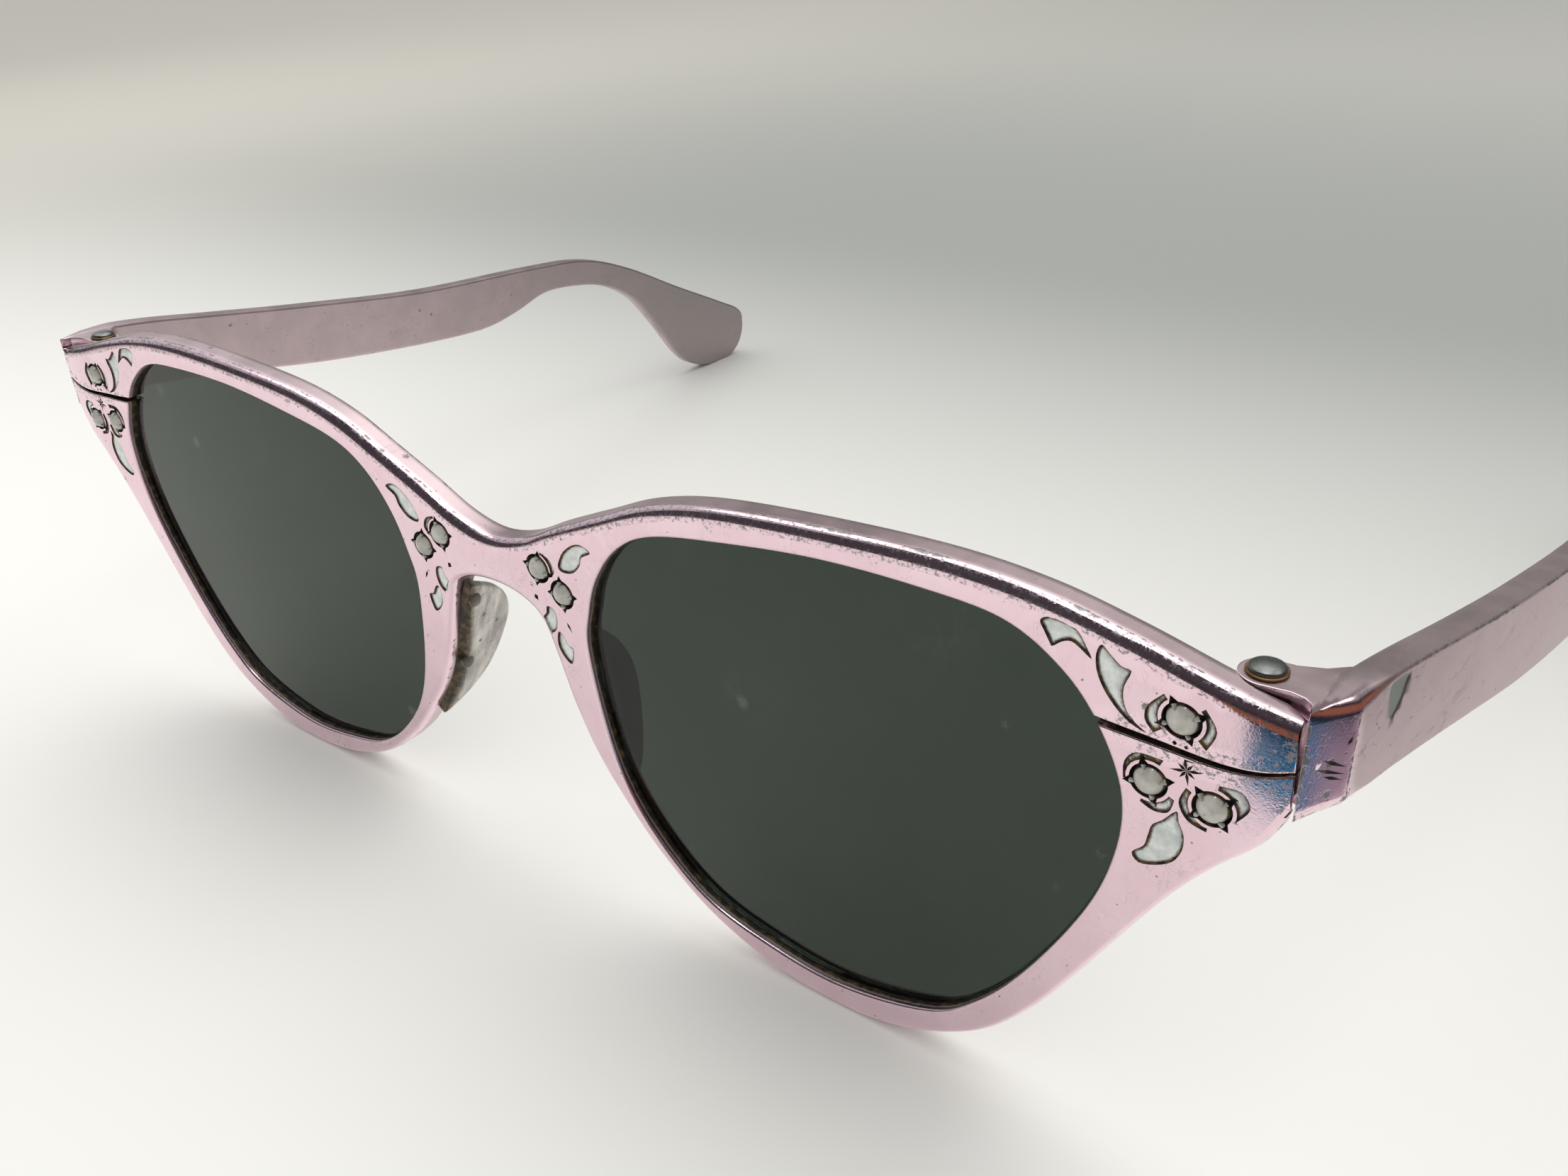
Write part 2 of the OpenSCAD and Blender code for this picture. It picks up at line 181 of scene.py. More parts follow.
# Strokes and a worn flat on the temple block, as (y, z)
BLOCK_STROKES = [
    ((1.7, 36.0), (3.2, 35.05), 0.13), ((1.3, 35.5), (3.2, 34.55), 0.13),
    ((1.85, 34.85), (3.1, 34.2), 0.12), ((3.05, 36.6), (3.28, 37.1), 0.13)]
WORN_FLAT = [
    (7.1, 38.6), (7.8, 38.8), (9.6, 38.35), (9.4, 37.7), (9.1, 36.8), (8.2, 35.9), (7.6, 36.3),
    (7.15, 37.6)]


def placed(points):
    """Millimetres from the face, taken to metres in the frame."""
    return np.asarray(points, float) * MM + np.array([0, FACE_Y, 0])


def smooth_line(points, steps, closed=False):
    """A smooth curve through the points."""
    p = np.array(points, float)
    n = len(p)
    out = []
    for i in range(n if closed else n - 1):
        near = [(i - 1) % n, i, (i + 1) % n, (i + 2) % n]
        if not closed:
            near = [max(i - 1, 0), i, i + 1, min(i + 2, n - 1)]
        a, b, c, d = p[near]
        for t in np.arange(steps) / steps:
            out.append(0.5 * (2 * b + (c - a) * t + (2 * a - 5 * b + 4 * c - d) * t * t
                              + (3 * b - a - 3 * c + d) * t ** 3))
    if not closed:
        out.append(p[-1])
    return np.array(out)


def mirrored(points):
    return np.array(points, float)[::-1] * (-1, 1)


def meeting(a, b):
    """The first place where the line a meets the line b, and the step of a that it is in."""
    for i in range(len(a) - 1):
        p, r = a[i], a[i + 1] - a[i]
        q, s = b[:-1], b[1:] - b[:-1]
        cross = r[0] * s[:, 1] - r[1] * s[:, 0]
        cross = np.where(np.abs(cross) < 1e-12, 1e-12, cross)
        w = q - p
        t = (w[:, 0] * s[:, 1] - w[:, 1] * s[:, 0]) / cross
        u = (w[:, 0] * r[1] - w[:, 1] * r[0]) / cross
        hits = np.where((t >= 0) & (t <= 1) & (u >= 0) & (u <= 1))[0]
        if len(hits):
            return p + t[hits[0]] * r, i, int(hits[0])
    raise ValueError("the lines don't meet")


def depth_inside(points, outline):
    """Distance of each point from a closed outline, positive inside it."""
    pts = np.asarray(points, float)
    a = np.asarray(outline, float)
    b = np.roll(a, -1, 0)
    out = np.empty(len(pts))
    for k in range(0, len(pts), 4000):
        p = pts[k:k + 4000, None, :]
        e = (b - a)[None]
        w = p - a[None]
        t = np.clip((w * e).sum(2) / np.maximum((e * e).sum(2), 1e-12), 0, 1)
        d = np.sqrt(((w - t[..., None] * e) ** 2).sum(2)).min(1)
        ay, by = a[None, :, 1], b[None, :, 1]
        py = p[..., 1]
        span = (ay > py) != (by > py)
        rise = np.where(np.abs(by - ay) < 1e-12, 1e-12, by - ay)
        cross_x = a[None, :, 0] + (py - ay) / rise * (b - a)[None, :, 0]
        odd = (span & (p[..., 0] < cross_x)).sum(1) % 2
        out[k:k + 4000] = np.where(odd == 1, d, -d)
    return out


def inset(points, widths):
    """A closed clockwise outline moved inwards, each edge by its own width."""
    p = np.asarray(points, float)
    e1 = p - np.roll(p, 1, 0)
    e2 = np.roll(p, -1, 0) - p
    e1 /= np.linalg.norm(e1, axis=1)[:, None]
    e2 /= np.linalg.norm(e2, axis=1)[:, None]
    n1 = np.c_[e1[:, 1], -e1[:, 0]]
    n2 = np.c_[e2[:, 1], -e2[:, 0]]
    w2 = np.broadcast_to(np.asarray(widths, float), (len(p),))
    w1 = np.roll(w2, 1)
    det = n1[:, 0] * n2[:, 1] - n1[:, 1] * n2[:, 0]
    flat = np.abs(det) < 0.3
    safe = np.where(flat, 1, det)
    corner = np.c_[(w1 * n2[:, 1] - w2 * n1[:, 1]) / safe, (w2 * n1[:, 0] - w1 * n2[:, 0]) / safe]
    mid = n1 + n2
    mid /= np.maximum(np.linalg.norm(mid, axis=1), 1e-9)[:, None]
    along = mid * ((w1 + w2) / 2)[:, None]
    move = np.where(flat[:, None], along, corner)
    size = np.linalg.norm(move, axis=1)
    most = 2.5 * np.maximum(np.maximum(w1, w2), 1e-9)
    return p + move * np.minimum(1, most / np.maximum(size, 1e-9))[:, None]


# ------------------------------------------------------------------ engraving

CLEAN_DEEP, CLEAN_WALL = 0.15, 0.06   # leaves and petals
LEAF_RIDGE, PETAL_RIDGE = 0.07, 0.05
RIDGE_RISE = 0.4                      # the floor of a cut rises over this width
RIM_SOIL, RIM_REACH = 0.72, 0.27      # dirt along the edge of a cut
PETAL_IN = 1.46                       # inner edge of a petal, from the middle of its pearl
STROKE_DEEP, STROKE_WALL = 0.13, 0.05
NOTCH_DEEP, SEAT_WALL = 0.32, 0.1
STAR_HALF, STAR_TURN = 0.11, 0.2
FLAT_DEEP, FLAT_WALL = 0.05, 0.12


class Cut:
    """One engraved shape: its outline, its depth, the width of its wall and how dirty it is."""

    def __init__(self, outline, deep, wall, ridge=0.0, soil=0.0):
        self.outline = np.array(outline, float)
        self.deep, self.wall, self.ridge, self.soil = deep, wall, ridge, soil
        self.low = self.outline.min(0) - 0.3
        self.high = self.outline.max(0) + 0.3

    def mirrored(self):
        return Cut(self.outline * (-1, 1), self.deep, self.wall, self.ridge, self.soil)

    def near(self, points):
        return np.where(((points > self.low) & (points < self.high)).all(1))[0]


def leaf(points):
    return Cut(smooth_line(points, 3, closed=True), CLEAN_DEEP, CLEAN_WALL, LEAF_RIDGE)


def petal(pearl, outer):
    """A petal between its outer line and an arc round its pearl."""
    middle = np.array(PEARLS[pearl])
    line = smooth_line(outer, 4)
    a0, a1 = [math.atan2(*(q - middle)[::-1]) for q in (line[-1], line[0])]
    if a1 - a0 > math.pi:
        a1 -= TAU
    if a0 - a1 > math.pi:
        a1 += TAU
    arc = [middle + PETAL_IN * np.array([math.cos(a), math.sin(a)]) for a in np.linspace(a0, a1, 9)]
    return Cut(np.concatenate([line, arc]), CLEAN_DEEP, CLEAN_WALL, PETAL_RIDGE)


def stroke(start, end, half):
    a, b = np.array(start, float), np.array(end, float)
    along = (b - a) / np.linalg.norm(b - a)
    side = np.array([-along[1], along[0]]) * half
    widest = a * 0.6 + b * 0.4
    return Cut([a, widest + side, b, widest - side], STROKE_DEEP, STROKE_WALL, soil=1)


def seat(middle, radius):
    turn = np.linspace(0, TAU, 40, endpoint=False)
    ring = np.array(middle) + radius * np.c_[np.cos(turn), np.sin(turn)]
    return Cut(ring, SEAT_DEEP, SEAT_WALL, soil=1)


def notch(middle, angle):
    """The dark cut behind one claw."""
    out = np.array([math.cos(angle), math.sin(angle)])
    side = np.array([-out[1], out[0]])
    points = [np.array(middle) + far * out + across * side for far, across in (
        (1.18, -0.32), (1.38, -0.2), (1.72, 0), (1.38, 0.2), (1.18, 0.32))]
    return Cut(points, NOTCH_DEEP, SEAT_WALL, soil=1)


def claw_angle(angle, middle):
    """Each seat's claws are turned a little from those of the next."""
    return angle + 0.1 * middle[0]


cuts = [leaf(p) for p in LEAVES] + [petal(*p) for p in PETALS] + [stroke(*s) for s in STROKES]
for name, middle in PEARLS.items():
    cuts.append(seat(middle, BRIDGE_SEAT_R if "bridge" in name else SEAT_R))
    cuts += [notch(middle, claw_angle(a, middle)) for a in CLAW_TURN]
for k in range(8):
    a = TAU * k / 8 + STAR_TURN
    ray = STAR_RAYS[k % 2]
    tip = (STAR_AT[0] + ray * math.cos(a), STAR_AT[1] + ray * math.sin(a))
    cuts.append(stroke(STAR_AT, tip, STAR_HALF))
front_cuts = cuts + [c.mirrored() for c in cuts]
worn_flat_line = smooth_line(WORN_FLAT, 3, closed=True)
block_cuts = [stroke(*s) for s in BLOCK_STROKES] + [Cut(worn_flat_line, FLAT_DEEP, FLAT_WALL)]


def relief(points, shapes):
    """Depth of the engraving at each point, how dirty it is, and whether it is cut at all."""
    deep = np.zeros(len(points))
    soil = np.zeros(len(points))
    inside = np.zeros(len(points), bool)
    for c in shapes:
        at = c.near(points)
        if not len(at):
            continue
        s = depth_inside(points[at], c.outline)
        d = c.deep * np.clip(s / c.wall, 0, 1) - c.ridge * np.clip((s - c.wall) / RIDGE_RISE, 0, 1)
        dirty = np.where(s > -1e-4, np.maximum(c.soil, RIM_SOIL * np.exp(-(s / RIM_REACH) ** 2)), 0)
        deep[at] = np.maximum(deep[at], np.where(s > 0, d, 0))
        soil[at] = np.maximum(soil[at], dirty)
        inside[at] |= s > 1e-4
    return deep, soil, inside


# ------------------------------------------------------------------ plates

CUT_EDGE, CUT_GRID = 0.12, 0.17       # steps along and inside an engraved shape
CUT_CLEAR = 0.05                      # engraving stays this far inside the plate's loops
FLAT_RING = 0.04                      # a thin flat ring inside each bevel


def finer(line, longest):
    """A closed outline with points added so that no step is longer than this."""
    out = []
    for a, b in zip(line, np.roll(line, -1, 0)):
        n = max(1, math.ceil(np.linalg.norm(b - a) / longest))
        out += [a + (b - a) * k / n for k in range(n)]
    return np.array(out)


def grid(low, high, step):
    """Points on a square grid between two corners."""
    xs = np.arange(low[0], high[0], step)
    zs = np.arange(low[1], high[1], step)
    return np.array([(x, z) for x in xs for z in zs]).reshape(-1, 2)


def cap(loops, steps, shapes=(), lines=()):
    """Triangles that fill flat loops, with finer ones where there is engraving.
    Returns new points and triangles; the first points are those of the loops."""
    def inside_loops(p):
        return np.min([depth_inside(p, q) * (1 if i == 0 else -1) for i, q in enumerate(loops)], 0)

    edge = np.concatenate(loops)
    fill = []
    for step, low, high in steps:
        g = grid(low, high, step)
        fill.append(g[inside_loops(g) > 0.25 * step])
    points = [edge]
    edges = []
    start = 0
    for p in loops:
        edges += [(start + i, start + (i + 1) % len(p)) for i in range(len(p))]
        start += len(p)
    for c in shapes:
        for line in (c.outline, inset(clockwise(c.outline), c.wall)):
            line = finer(line, CUT_EDGE)
            clear = inside_loops(line) > CUT_CLEAR
            n = len(line)
            edges += [(start + i, start + (i + 1) % n)
                      for i in range(n) if clear[i] and clear[(i + 1) % n]]
            line[~clear] = line[clear][0] if clear.any() else edge[0]
            points.append(line)
            start += n
        g = grid(c.low, c.high, CUT_GRID)
        g = g[depth_inside(g, c.outline) > 1.2 * c.wall]
        fill.append(g[inside_loops(g) > CUT_CLEAR] if len(g) else g)
    for line in lines:
        edges += [(start + i, start + i + 1) for i in range(len(line) - 1)]
        points.append(np.array(line, float))
        start += len(line)
    points = np.concatenate(points + fill)
    # made: points, edges, triangles, and for each point the ones that it comes from
    made = delaunay_2d_cdt([Vector(p) for p in points], edges, [], 0, 1e-5, True)
    spots = np.array([v[:] for v in made[0]])
    tris = np.array([f[:] for f in made[2]])
    of_edge = {}
    for i, ids in enumerate(made[3]):
        for j in ids:
            if j < len(edge):
                of_edge[i] = j
    rim = np.array([i in of_edge or not made[3][i] for i in range(len(spots))])
    test = np.where(rim[tris].any(1))[0]
    mid = spots[tris[test]].mean(1)
    keep = np.ones(len(tris), bool)
    keep[test] = inside_loops(mid) > 1e-5
    tris = tris[keep]
    order = np.full(len(spots), -1)
    for i, j in of_edge.items():
        order[i] = j
    free = [i for i in np.unique(tris) if i not in of_edge]
    order[free] = len(edge) + np.arange(len(free))
    return spots[free], order[tris]


def clockwise(p):
    """The closed outline p, turned round where it runs the other way."""
    p = np.asarray(p, float)
    q = np.roll(p, -1, 0)
    return p if (p[:, 0] * q[:, 1] - q[:, 0] * p[:, 1]).sum() < 0 else p[::-1]


def plate(loops, thick, steps, shapes=(), lines=(), rounds=6, wall_rows=3):
    """A plate in its own plane: points (u, v, depth) and faces. Each loop is (outline, width and
    depth of its front bevel, width and depth of its back bevel); an outline is clockwise round the
    plate and the other way round a hole."""
    rows = []
    for outline, *bevels in loops:
        w, d, wb, db = [np.broadcast_to(np.asarray(b, float), (len(outline),)) for b in bevels]
        own = [(inset(outline, w + FLAT_RING), np.zeros(len(outline)))]
        for k in range(rounds + 1):
            a = math.pi / 2 * (1 - k / rounds)
            own.append((inset(outline, w * (1 - math.cos(a))), d * (1 - math.sin(a))))
        for k in range(1, wall_rows + 1):
            s = k / (wall_rows + 1)
            own.append((outline, d * (1 - s) + (thick - db) * s))
        for k in range(3):
            a = math.pi / 4 * k
            own.append((inset(outline, wb * (1 - math.cos(a))), thick - db * (1 - math.sin(a))))
        own.append((inset(outline, wb + FLAT_RING), np.full(len(outline), float(thick))))
        rows.append(own)
    points, faces = [], []
    count = 0
    index = []
    for own in rows:
        ids = []
        for flat, deep in own:
            points.append(np.c_[flat, deep])
            ids.append(count + np.arange(len(flat)))
            count += len(flat)
        index.append(ids)
        for a, b in zip(ids, ids[1:]):
            faces += [(a[i], a[(i + 1) % len(a)], b[(i + 1) % len(a)], b[i]) for i in range(len(a))]
    for row, cuts_here in ((0, shapes), (-1, ())):   # front, back
        edge = np.concatenate([ids[row] for ids in index])
        more, tris = cap([own[row][0] for own in rows], steps, cuts_here, lines)
        deep = np.full(len(more), float(thick)) if row else relief(more, cuts_here)[0]
        points.append(np.c_[more, deep])
        order = np.concatenate([edge, count + np.arange(len(more))])
        count += len(more)
        faces += [tuple(t) for t in order[tris]]
    return np.concatenate(points), faces


def make_piece(name, points, faces, materials, crease=32):
    """An object from points in the frame, with outward faces and smooth shading."""
    mesh = bpy.data.meshes.new(name)
    bm = bmesh.new()
    verts = [bm.verts.new(p) for p in points]
    for f in faces:
        if len(set(f)) > 2:
            try:
                bm.faces.new([verts[i] for i in f])
            except ValueError:   # the face is there already
                pass
    bmesh.ops.remove_doubles(bm, verts=bm.verts, dist=1e-7)
    loose = [v for v in bm.verts if not v.link_faces]
    bmesh.ops.delete(bm, geom=loose, context="VERTS")
    bmesh.ops.recalc_face_normals(bm, faces=bm.faces)
    if bm.calc_volume(signed=True) < 0:
        bmesh.ops.reverse_faces(bm, faces=bm.faces)
    bm.to_mesh(mesh)
    bm.free()
    obj = bpy.data.objects.new(name, mesh)
    bpy.context.scene.collection.objects.link(obj)
    for m in materials:
        mesh.materials.append(m)
    smooth(mesh, crease)
    return obj


def smooth(mesh, crease):
    """Smooth shading, with sharp edges where faces meet at more than the crease's degrees."""
    mesh.polygons.foreach_set("use_smooth", np.ones(len(mesh.polygons), bool))
    mesh.set_sharp_from_angle(angle=math.radians(crease))
    mesh.update()


def joined(obj, other, operation, crease=32):
    """Adds a solid to a piece or cuts it away; the solid itself is used up."""
    modifier = obj.modifiers.new("joined", "BOOLEAN")
    modifier.operation = operation
    modifier.object = other
    modifier.solver = "EXACT"
    bpy.context.view_layer.update()
    made = bpy.data.meshes.new_from_object(obj.evaluated_get(bpy.context.evaluated_depsgraph_get()))
    obj.modifiers.clear()
    old = obj.data
    obj.data = made
    made.name = obj.name
    bpy.data.meshes.remove(old)
    bpy.data.objects.remove(other)
    bm = bmesh.new()
    bm.from_mesh(made)
    # tiny gaps along the seam
    gaps = [e for e in bm.edges if len(e.link_faces) == 1]
    if gaps:
        bmesh.ops.holes_fill(bm, edges=gaps, sides=4)
        bm.to_mesh(made)
    bm.free()
    smooth(made, crease)


def vertex_places(obj):
    """The vertices in millimetres from the face."""
    co = np.zeros(len(obj.data.vertices) * 3, np.float32)
    obj.data.vertices.foreach_get("co", co)
    return (co.reshape(-1, 3).astype(float) - (0, FACE_Y, 0)) / MM


def set_mask(obj, name, values):
    """A number on each vertex for the materials, or the same one on all of them."""
    layer = obj.data.attributes.new(name, "FLOAT", "POINT")
    values = np.broadcast_to(np.clip(values, 0, 1).astype(np.float32), (len(obj.data.vertices),))
    layer.data.foreach_set("value", np.ascontiguousarray(values))


def store(obj, co):
    """Puts the vertices at these millimetres from the face."""
    obj.data.vertices.foreach_set("co", placed(co).astype(np.float32).ravel())
    obj.data.update()


def lathe(name, profile, origin, axis, materials, segments=40, crease=35):
    """A turned piece: profile of (radius, height) along the axis from the origin."""
    axis = Vector(axis).normalized()
    side = axis.orthogonal().normalized()
    third = axis.cross(side)
    points, faces, rows = [], [], []
    for r, h in profile:
        if r < 1e-6:
            rows.append([len(points)] * segments)
            points.append(Vector(origin) + axis * h)
            continue
        rows.append(list(range(len(points), len(points) + segments)))
        for k in range(segments):
            a = TAU * k / segments
            points.append(Vector(origin) + axis * h + (side * math.cos(a) + third * math.sin(a)) * r)
    closed = profile[0][0] > 1e-6
    pairs = list(zip(rows, rows[1:])) + ([(rows[-1], rows[0])] if closed else [])
    for a, b in pairs:
        for k in range(segments):
            j = (k + 1) % segments
            f = [a[k], a[j], b[j], b[k]]
            f = [v for i, v in enumerate(f) if v != f[i - 1]]
            if len(f) > 2:
                faces.append(tuple(f))
    return make_piece(name, placed([p[:] for p in points]), faces, materials, crease)


# ------------------------------------------------------------------ shader groups and materials

def node(tree, kind, links=None, **props):
    """A node with its properties and inputs set: an input takes a value or another node's output."""
    n = tree.nodes.new(kind)
    for key, value in props.items():
        setattr(n, key, value)
    for key, value in (links or {}).items():
        socket = n.inputs[key]
        if isinstance(value, bpy.types.NodeSocket):
            tree.links.new(value, socket)
        else:
            socket.default_value = value
    return n


def math_node(tree, operation, a, b=0.0, c=None, clamp=False):
    values = {0: a, 1: b}
    if c is not None:
        values[2] = c
    return node(tree, "ShaderNodeMath", values, operation=operation, use_clamp=clamp).outputs[0]


def step_node(tree, value, low, high, to_low=0.0, to_high=1.0):
    return node(tree, "ShaderNodeMapRange", {
        "Value": value, "From Min": low, "From Max": high, "To Min": to_low, "To Max": to_high},
        interpolation_type="SMOOTHSTEP").outputs["Result"]


def mix_colour(tree, factor, a, b, blend="MIX"):
    n = node(tree, "ShaderNodeMix", {0: factor}, data_type="RGBA", blend_type=blend)
    for socket, value in ((n.inputs[6], a), (n.inputs[7], b)):
        if isinstance(value, bpy.types.NodeSocket):
            tree.links.new(value, socket)
        else:
            socket.default_value = (*value, 1) if len(value) == 3 else value
    return n.outputs[2]


def new_group(name, inputs, outputs):
    """An empty shader group with named inputs and outputs: (name, kind, default)."""
    tree = bpy.data.node_groups.new(name, "ShaderNodeTree")
    for key, kind, default in inputs:
        socket = tree.interface.new_socket(key, in_out="INPUT", socket_type="NodeSocket" + kind)
        if default is not None:
            socket.default_value = default
    for key, kind in outputs:
        tree.interface.new_socket(key, in_out="OUTPUT", socket_type="NodeSocket" + kind)
    return tree, tree.nodes.new("NodeGroupInput").outputs, tree.nodes.new("NodeGroupOutput").inputs


def noise(tree, vector, scale, detail=3.0, rough=0.55, distort=0.0):
    return node(tree, "ShaderNodeTexNoise", {
        "Vector": vector, "Scale": scale, "Detail": detail, "Roughness": rough,
        "Distortion": distort}).outputs["Fac"]


def build_groups():
    """The effects that the materials share, by name."""
    groups = {}
    # Satin: uneven sheen, fine grain and cloudy colour of an anodised or rubbed surface.
    t, i, o = new_group("satin", [
        ("Vector", "Vector", None), ("Cloud scale", "Float", 260.0), ("Grain scale", "Float", 9000.0)],
        [("Cloud", "Float"), ("Grain", "Float"), ("Height", "Float")])
    cloud = noise(t, i["Vector"], i["Cloud scale"], 4, 0.6)
    grain = noise(t, i["Vector"], i["Grain scale"], 2, 0.5)
    t.links.new(step_node(t, cloud, 0.32, 0.68), o["Cloud"])
    t.links.new(grain, o["Grain"])
    t.links.new(math_node(t, "ADD", math_node(t, "MULTIPLY", cloud, 0.6),
                          math_node(t, "MULTIPLY", grain, 0.4)), o["Height"])
    groups["satin"] = t

    # Scratches: thin broken lines in two directions.
    t, i, o = new_group("scratches", [
        ("Vector", "Vector", None), ("Scale", "Float", 420.0), ("Amount", "Float", 0.5)],
        [("Mask", "Float")])
    masks = []
    for turn, stretch in ((0.5, 22.0), (-0.9, 16.0), (2.1, 28.0)):
        turned = node(t, "ShaderNodeMapping", {
            "Vector": i["Vector"], "Rotation": (turn * 0.6, turn, turn * 0.8),
            "Scale": (stretch, 1.0, stretch * 0.5)}).outputs[0]
        line = noise(t, turned, math_node(t, "DIVIDE", i["Scale"], 8.0), 2, 0.5)
        thin = math_node(t, "ABSOLUTE", math_node(t, "SUBTRACT", line, 0.5))
        patch = noise(t, turned, math_node(t, "DIVIDE", i["Scale"], 30.0), 1, 0.5)
        there = step_node(t, patch, 0.58, 0.66)
        masks.append(math_node(t, "MULTIPLY", step_node(t, thin, 0.012, 0.0), there))
    both = math_node(t, "MAXIMUM", math_node(t, "MAXIMUM", masks[0], masks[1]), masks[2])
    t.links.new(math_node(t, "MULTIPLY", both, i["Amount"], clamp=True), o["Mask"])
    groups["scratches"] = t

    # Edge wear: chips that start at an edge and thin out away from it.
    t, i, o = new_group("edge_wear", [
        ("Vector", "Vector", None), ("Edge", "Float", 0.0), ("Scale", "Float", 1500.0),
        ("Reach", "Float", 0.5)], [("Mask", "Float")])
    chips = noise(t, i["Vector"], i["Scale"], 5, 0.7)
    patches = noise(t, i["Vector"], math_node(t, "DIVIDE", i["Scale"], 7.0), 2, 0.5)
    amount = math_node(t, "MULTIPLY_ADD", i["Edge"], i["Reach"],
                       math_node(t, "MULTIPLY_ADD", chips, 0.75, math_node(t, "MULTIPLY", patches, 0.5)))
    t.links.new(step_node(t, amount, 0.98, 1.06), o["Mask"])
    groups["edge_wear"] = t

    # Specks: small scattered pits and spots of dirt.
    t, i, o = new_group("specks", [
        ("Vector", "Vector", None), ("Scale", "Float", 900.0), ("Amount", "Float", 0.2)],
        [("Mask", "Float")])
    spots = node(t, "ShaderNodeTexVoronoi", {"Vector": i["Vector"], "Scale": i["Scale"]})
    chance = node(t, "ShaderNodeSeparateColor", {0: spots.outputs["Color"]}).outputs[0]
    few = math_node(t, "GREATER_THAN", chance, math_node(t, "SUBTRACT", 1.0, i["Amount"]))
    wobble = math_node(t, "MULTIPLY_ADD", noise(t, i["Vector"], 6000.0, 2), 0.5,
                       spots.outputs["Distance"])
    round_spot = step_node(t, wobble, 0.52, 0.42)
    t.links.new(math_node(t, "MULTIPLY", round_spot, few), o["Mask"])
    groups["specks"] = t

    # Grime and shade: brown to black dirt that fills what is cut; fed more than 1, as on the front's gap
    # walls, it paints darker shade.
    t, i, o = new_group("grime_and_shade", [
        ("Vector", "Vector", None), ("Soil", "Float", 0.0), ("Colour", "Color", (1, 1, 1, 1)),
        ("Dirt", "Color", (0.13, 0.08, 0.032, 1)), ("Dark", "Color", (0.022, 0.016, 0.011, 1))],
        [("Colour", "Color"), ("Mask", "Float")])
    rough = noise(t, i["Vector"], 3200.0, 4, 0.65)
    mask = step_node(t, math_node(t, "MULTIPLY_ADD", i["Soil"], 1.15,
                                  math_node(t, "MULTIPLY", rough, 0.5)), 0.5, 1.0)
    depth = math_node(t, "MULTIPLY_ADD", i["Soil"], 0.25, noise(t, i["Vector"], 1500.0, 3))
    shade = mix_colour(t, step_node(t, depth, 0.52, 0.78), i["Dirt"], i["Dark"])
    t.links.new(mix_colour(t, mask, i["Colour"], shade), o["Colour"])
    t.links.new(mask, o["Mask"])
    groups["grime_and_shade"] = t
    return groups


GROUPS = build_groups()


def use_group(tree, name, links):
    """A shared effect in a material, with its own values."""
    n = node(tree, "ShaderNodeGroup", node_tree=GROUPS[name])
    for key, value in links.items():
        if isinstance(value, bpy.types.NodeSocket):
            tree.links.new(value, n.inputs[key])
        else:
            n.inputs[key].default_value = value
    return n.outputs


def new_material(name, **fixed):
    """A material with one Principled shader; the values given are the same all over it."""
    material = bpy.data.materials.new(name)
    material.use_nodes = True
    tree = material.node_tree
    tree.nodes.clear()
    shader = node(tree, "ShaderNodeBsdfPrincipled")
    out = node(tree, "ShaderNodeOutputMaterial")
    tree.links.new(shader.outputs[0], out.inputs["Surface"])
    for key, value in fixed.items():
        shader.inputs[key.replace("_", " ")].default_value = value
    return material, tree, shader, node(tree, "ShaderNodeTexCoord").outputs["Object"]


def mask_of(tree, name):
    return node(tree, "ShaderNodeAttribute", attribute_name=name).outputs["Fac"]


def bump(tree, shader, height, strength, distance):
    n = node(tree, "ShaderNodeBump", {"Height": height, "Strength": strength, "Distance": distance})
    tree.links.new(n.outputs[0], shader.inputs["Normal"])


def metal_under(tree, dirt, cover):
    """How metallic the surface is under dirt."""
    return math_node(tree, "SUBTRACT", 1.0, math_node(tree, "MULTIPLY", dirt, cover))


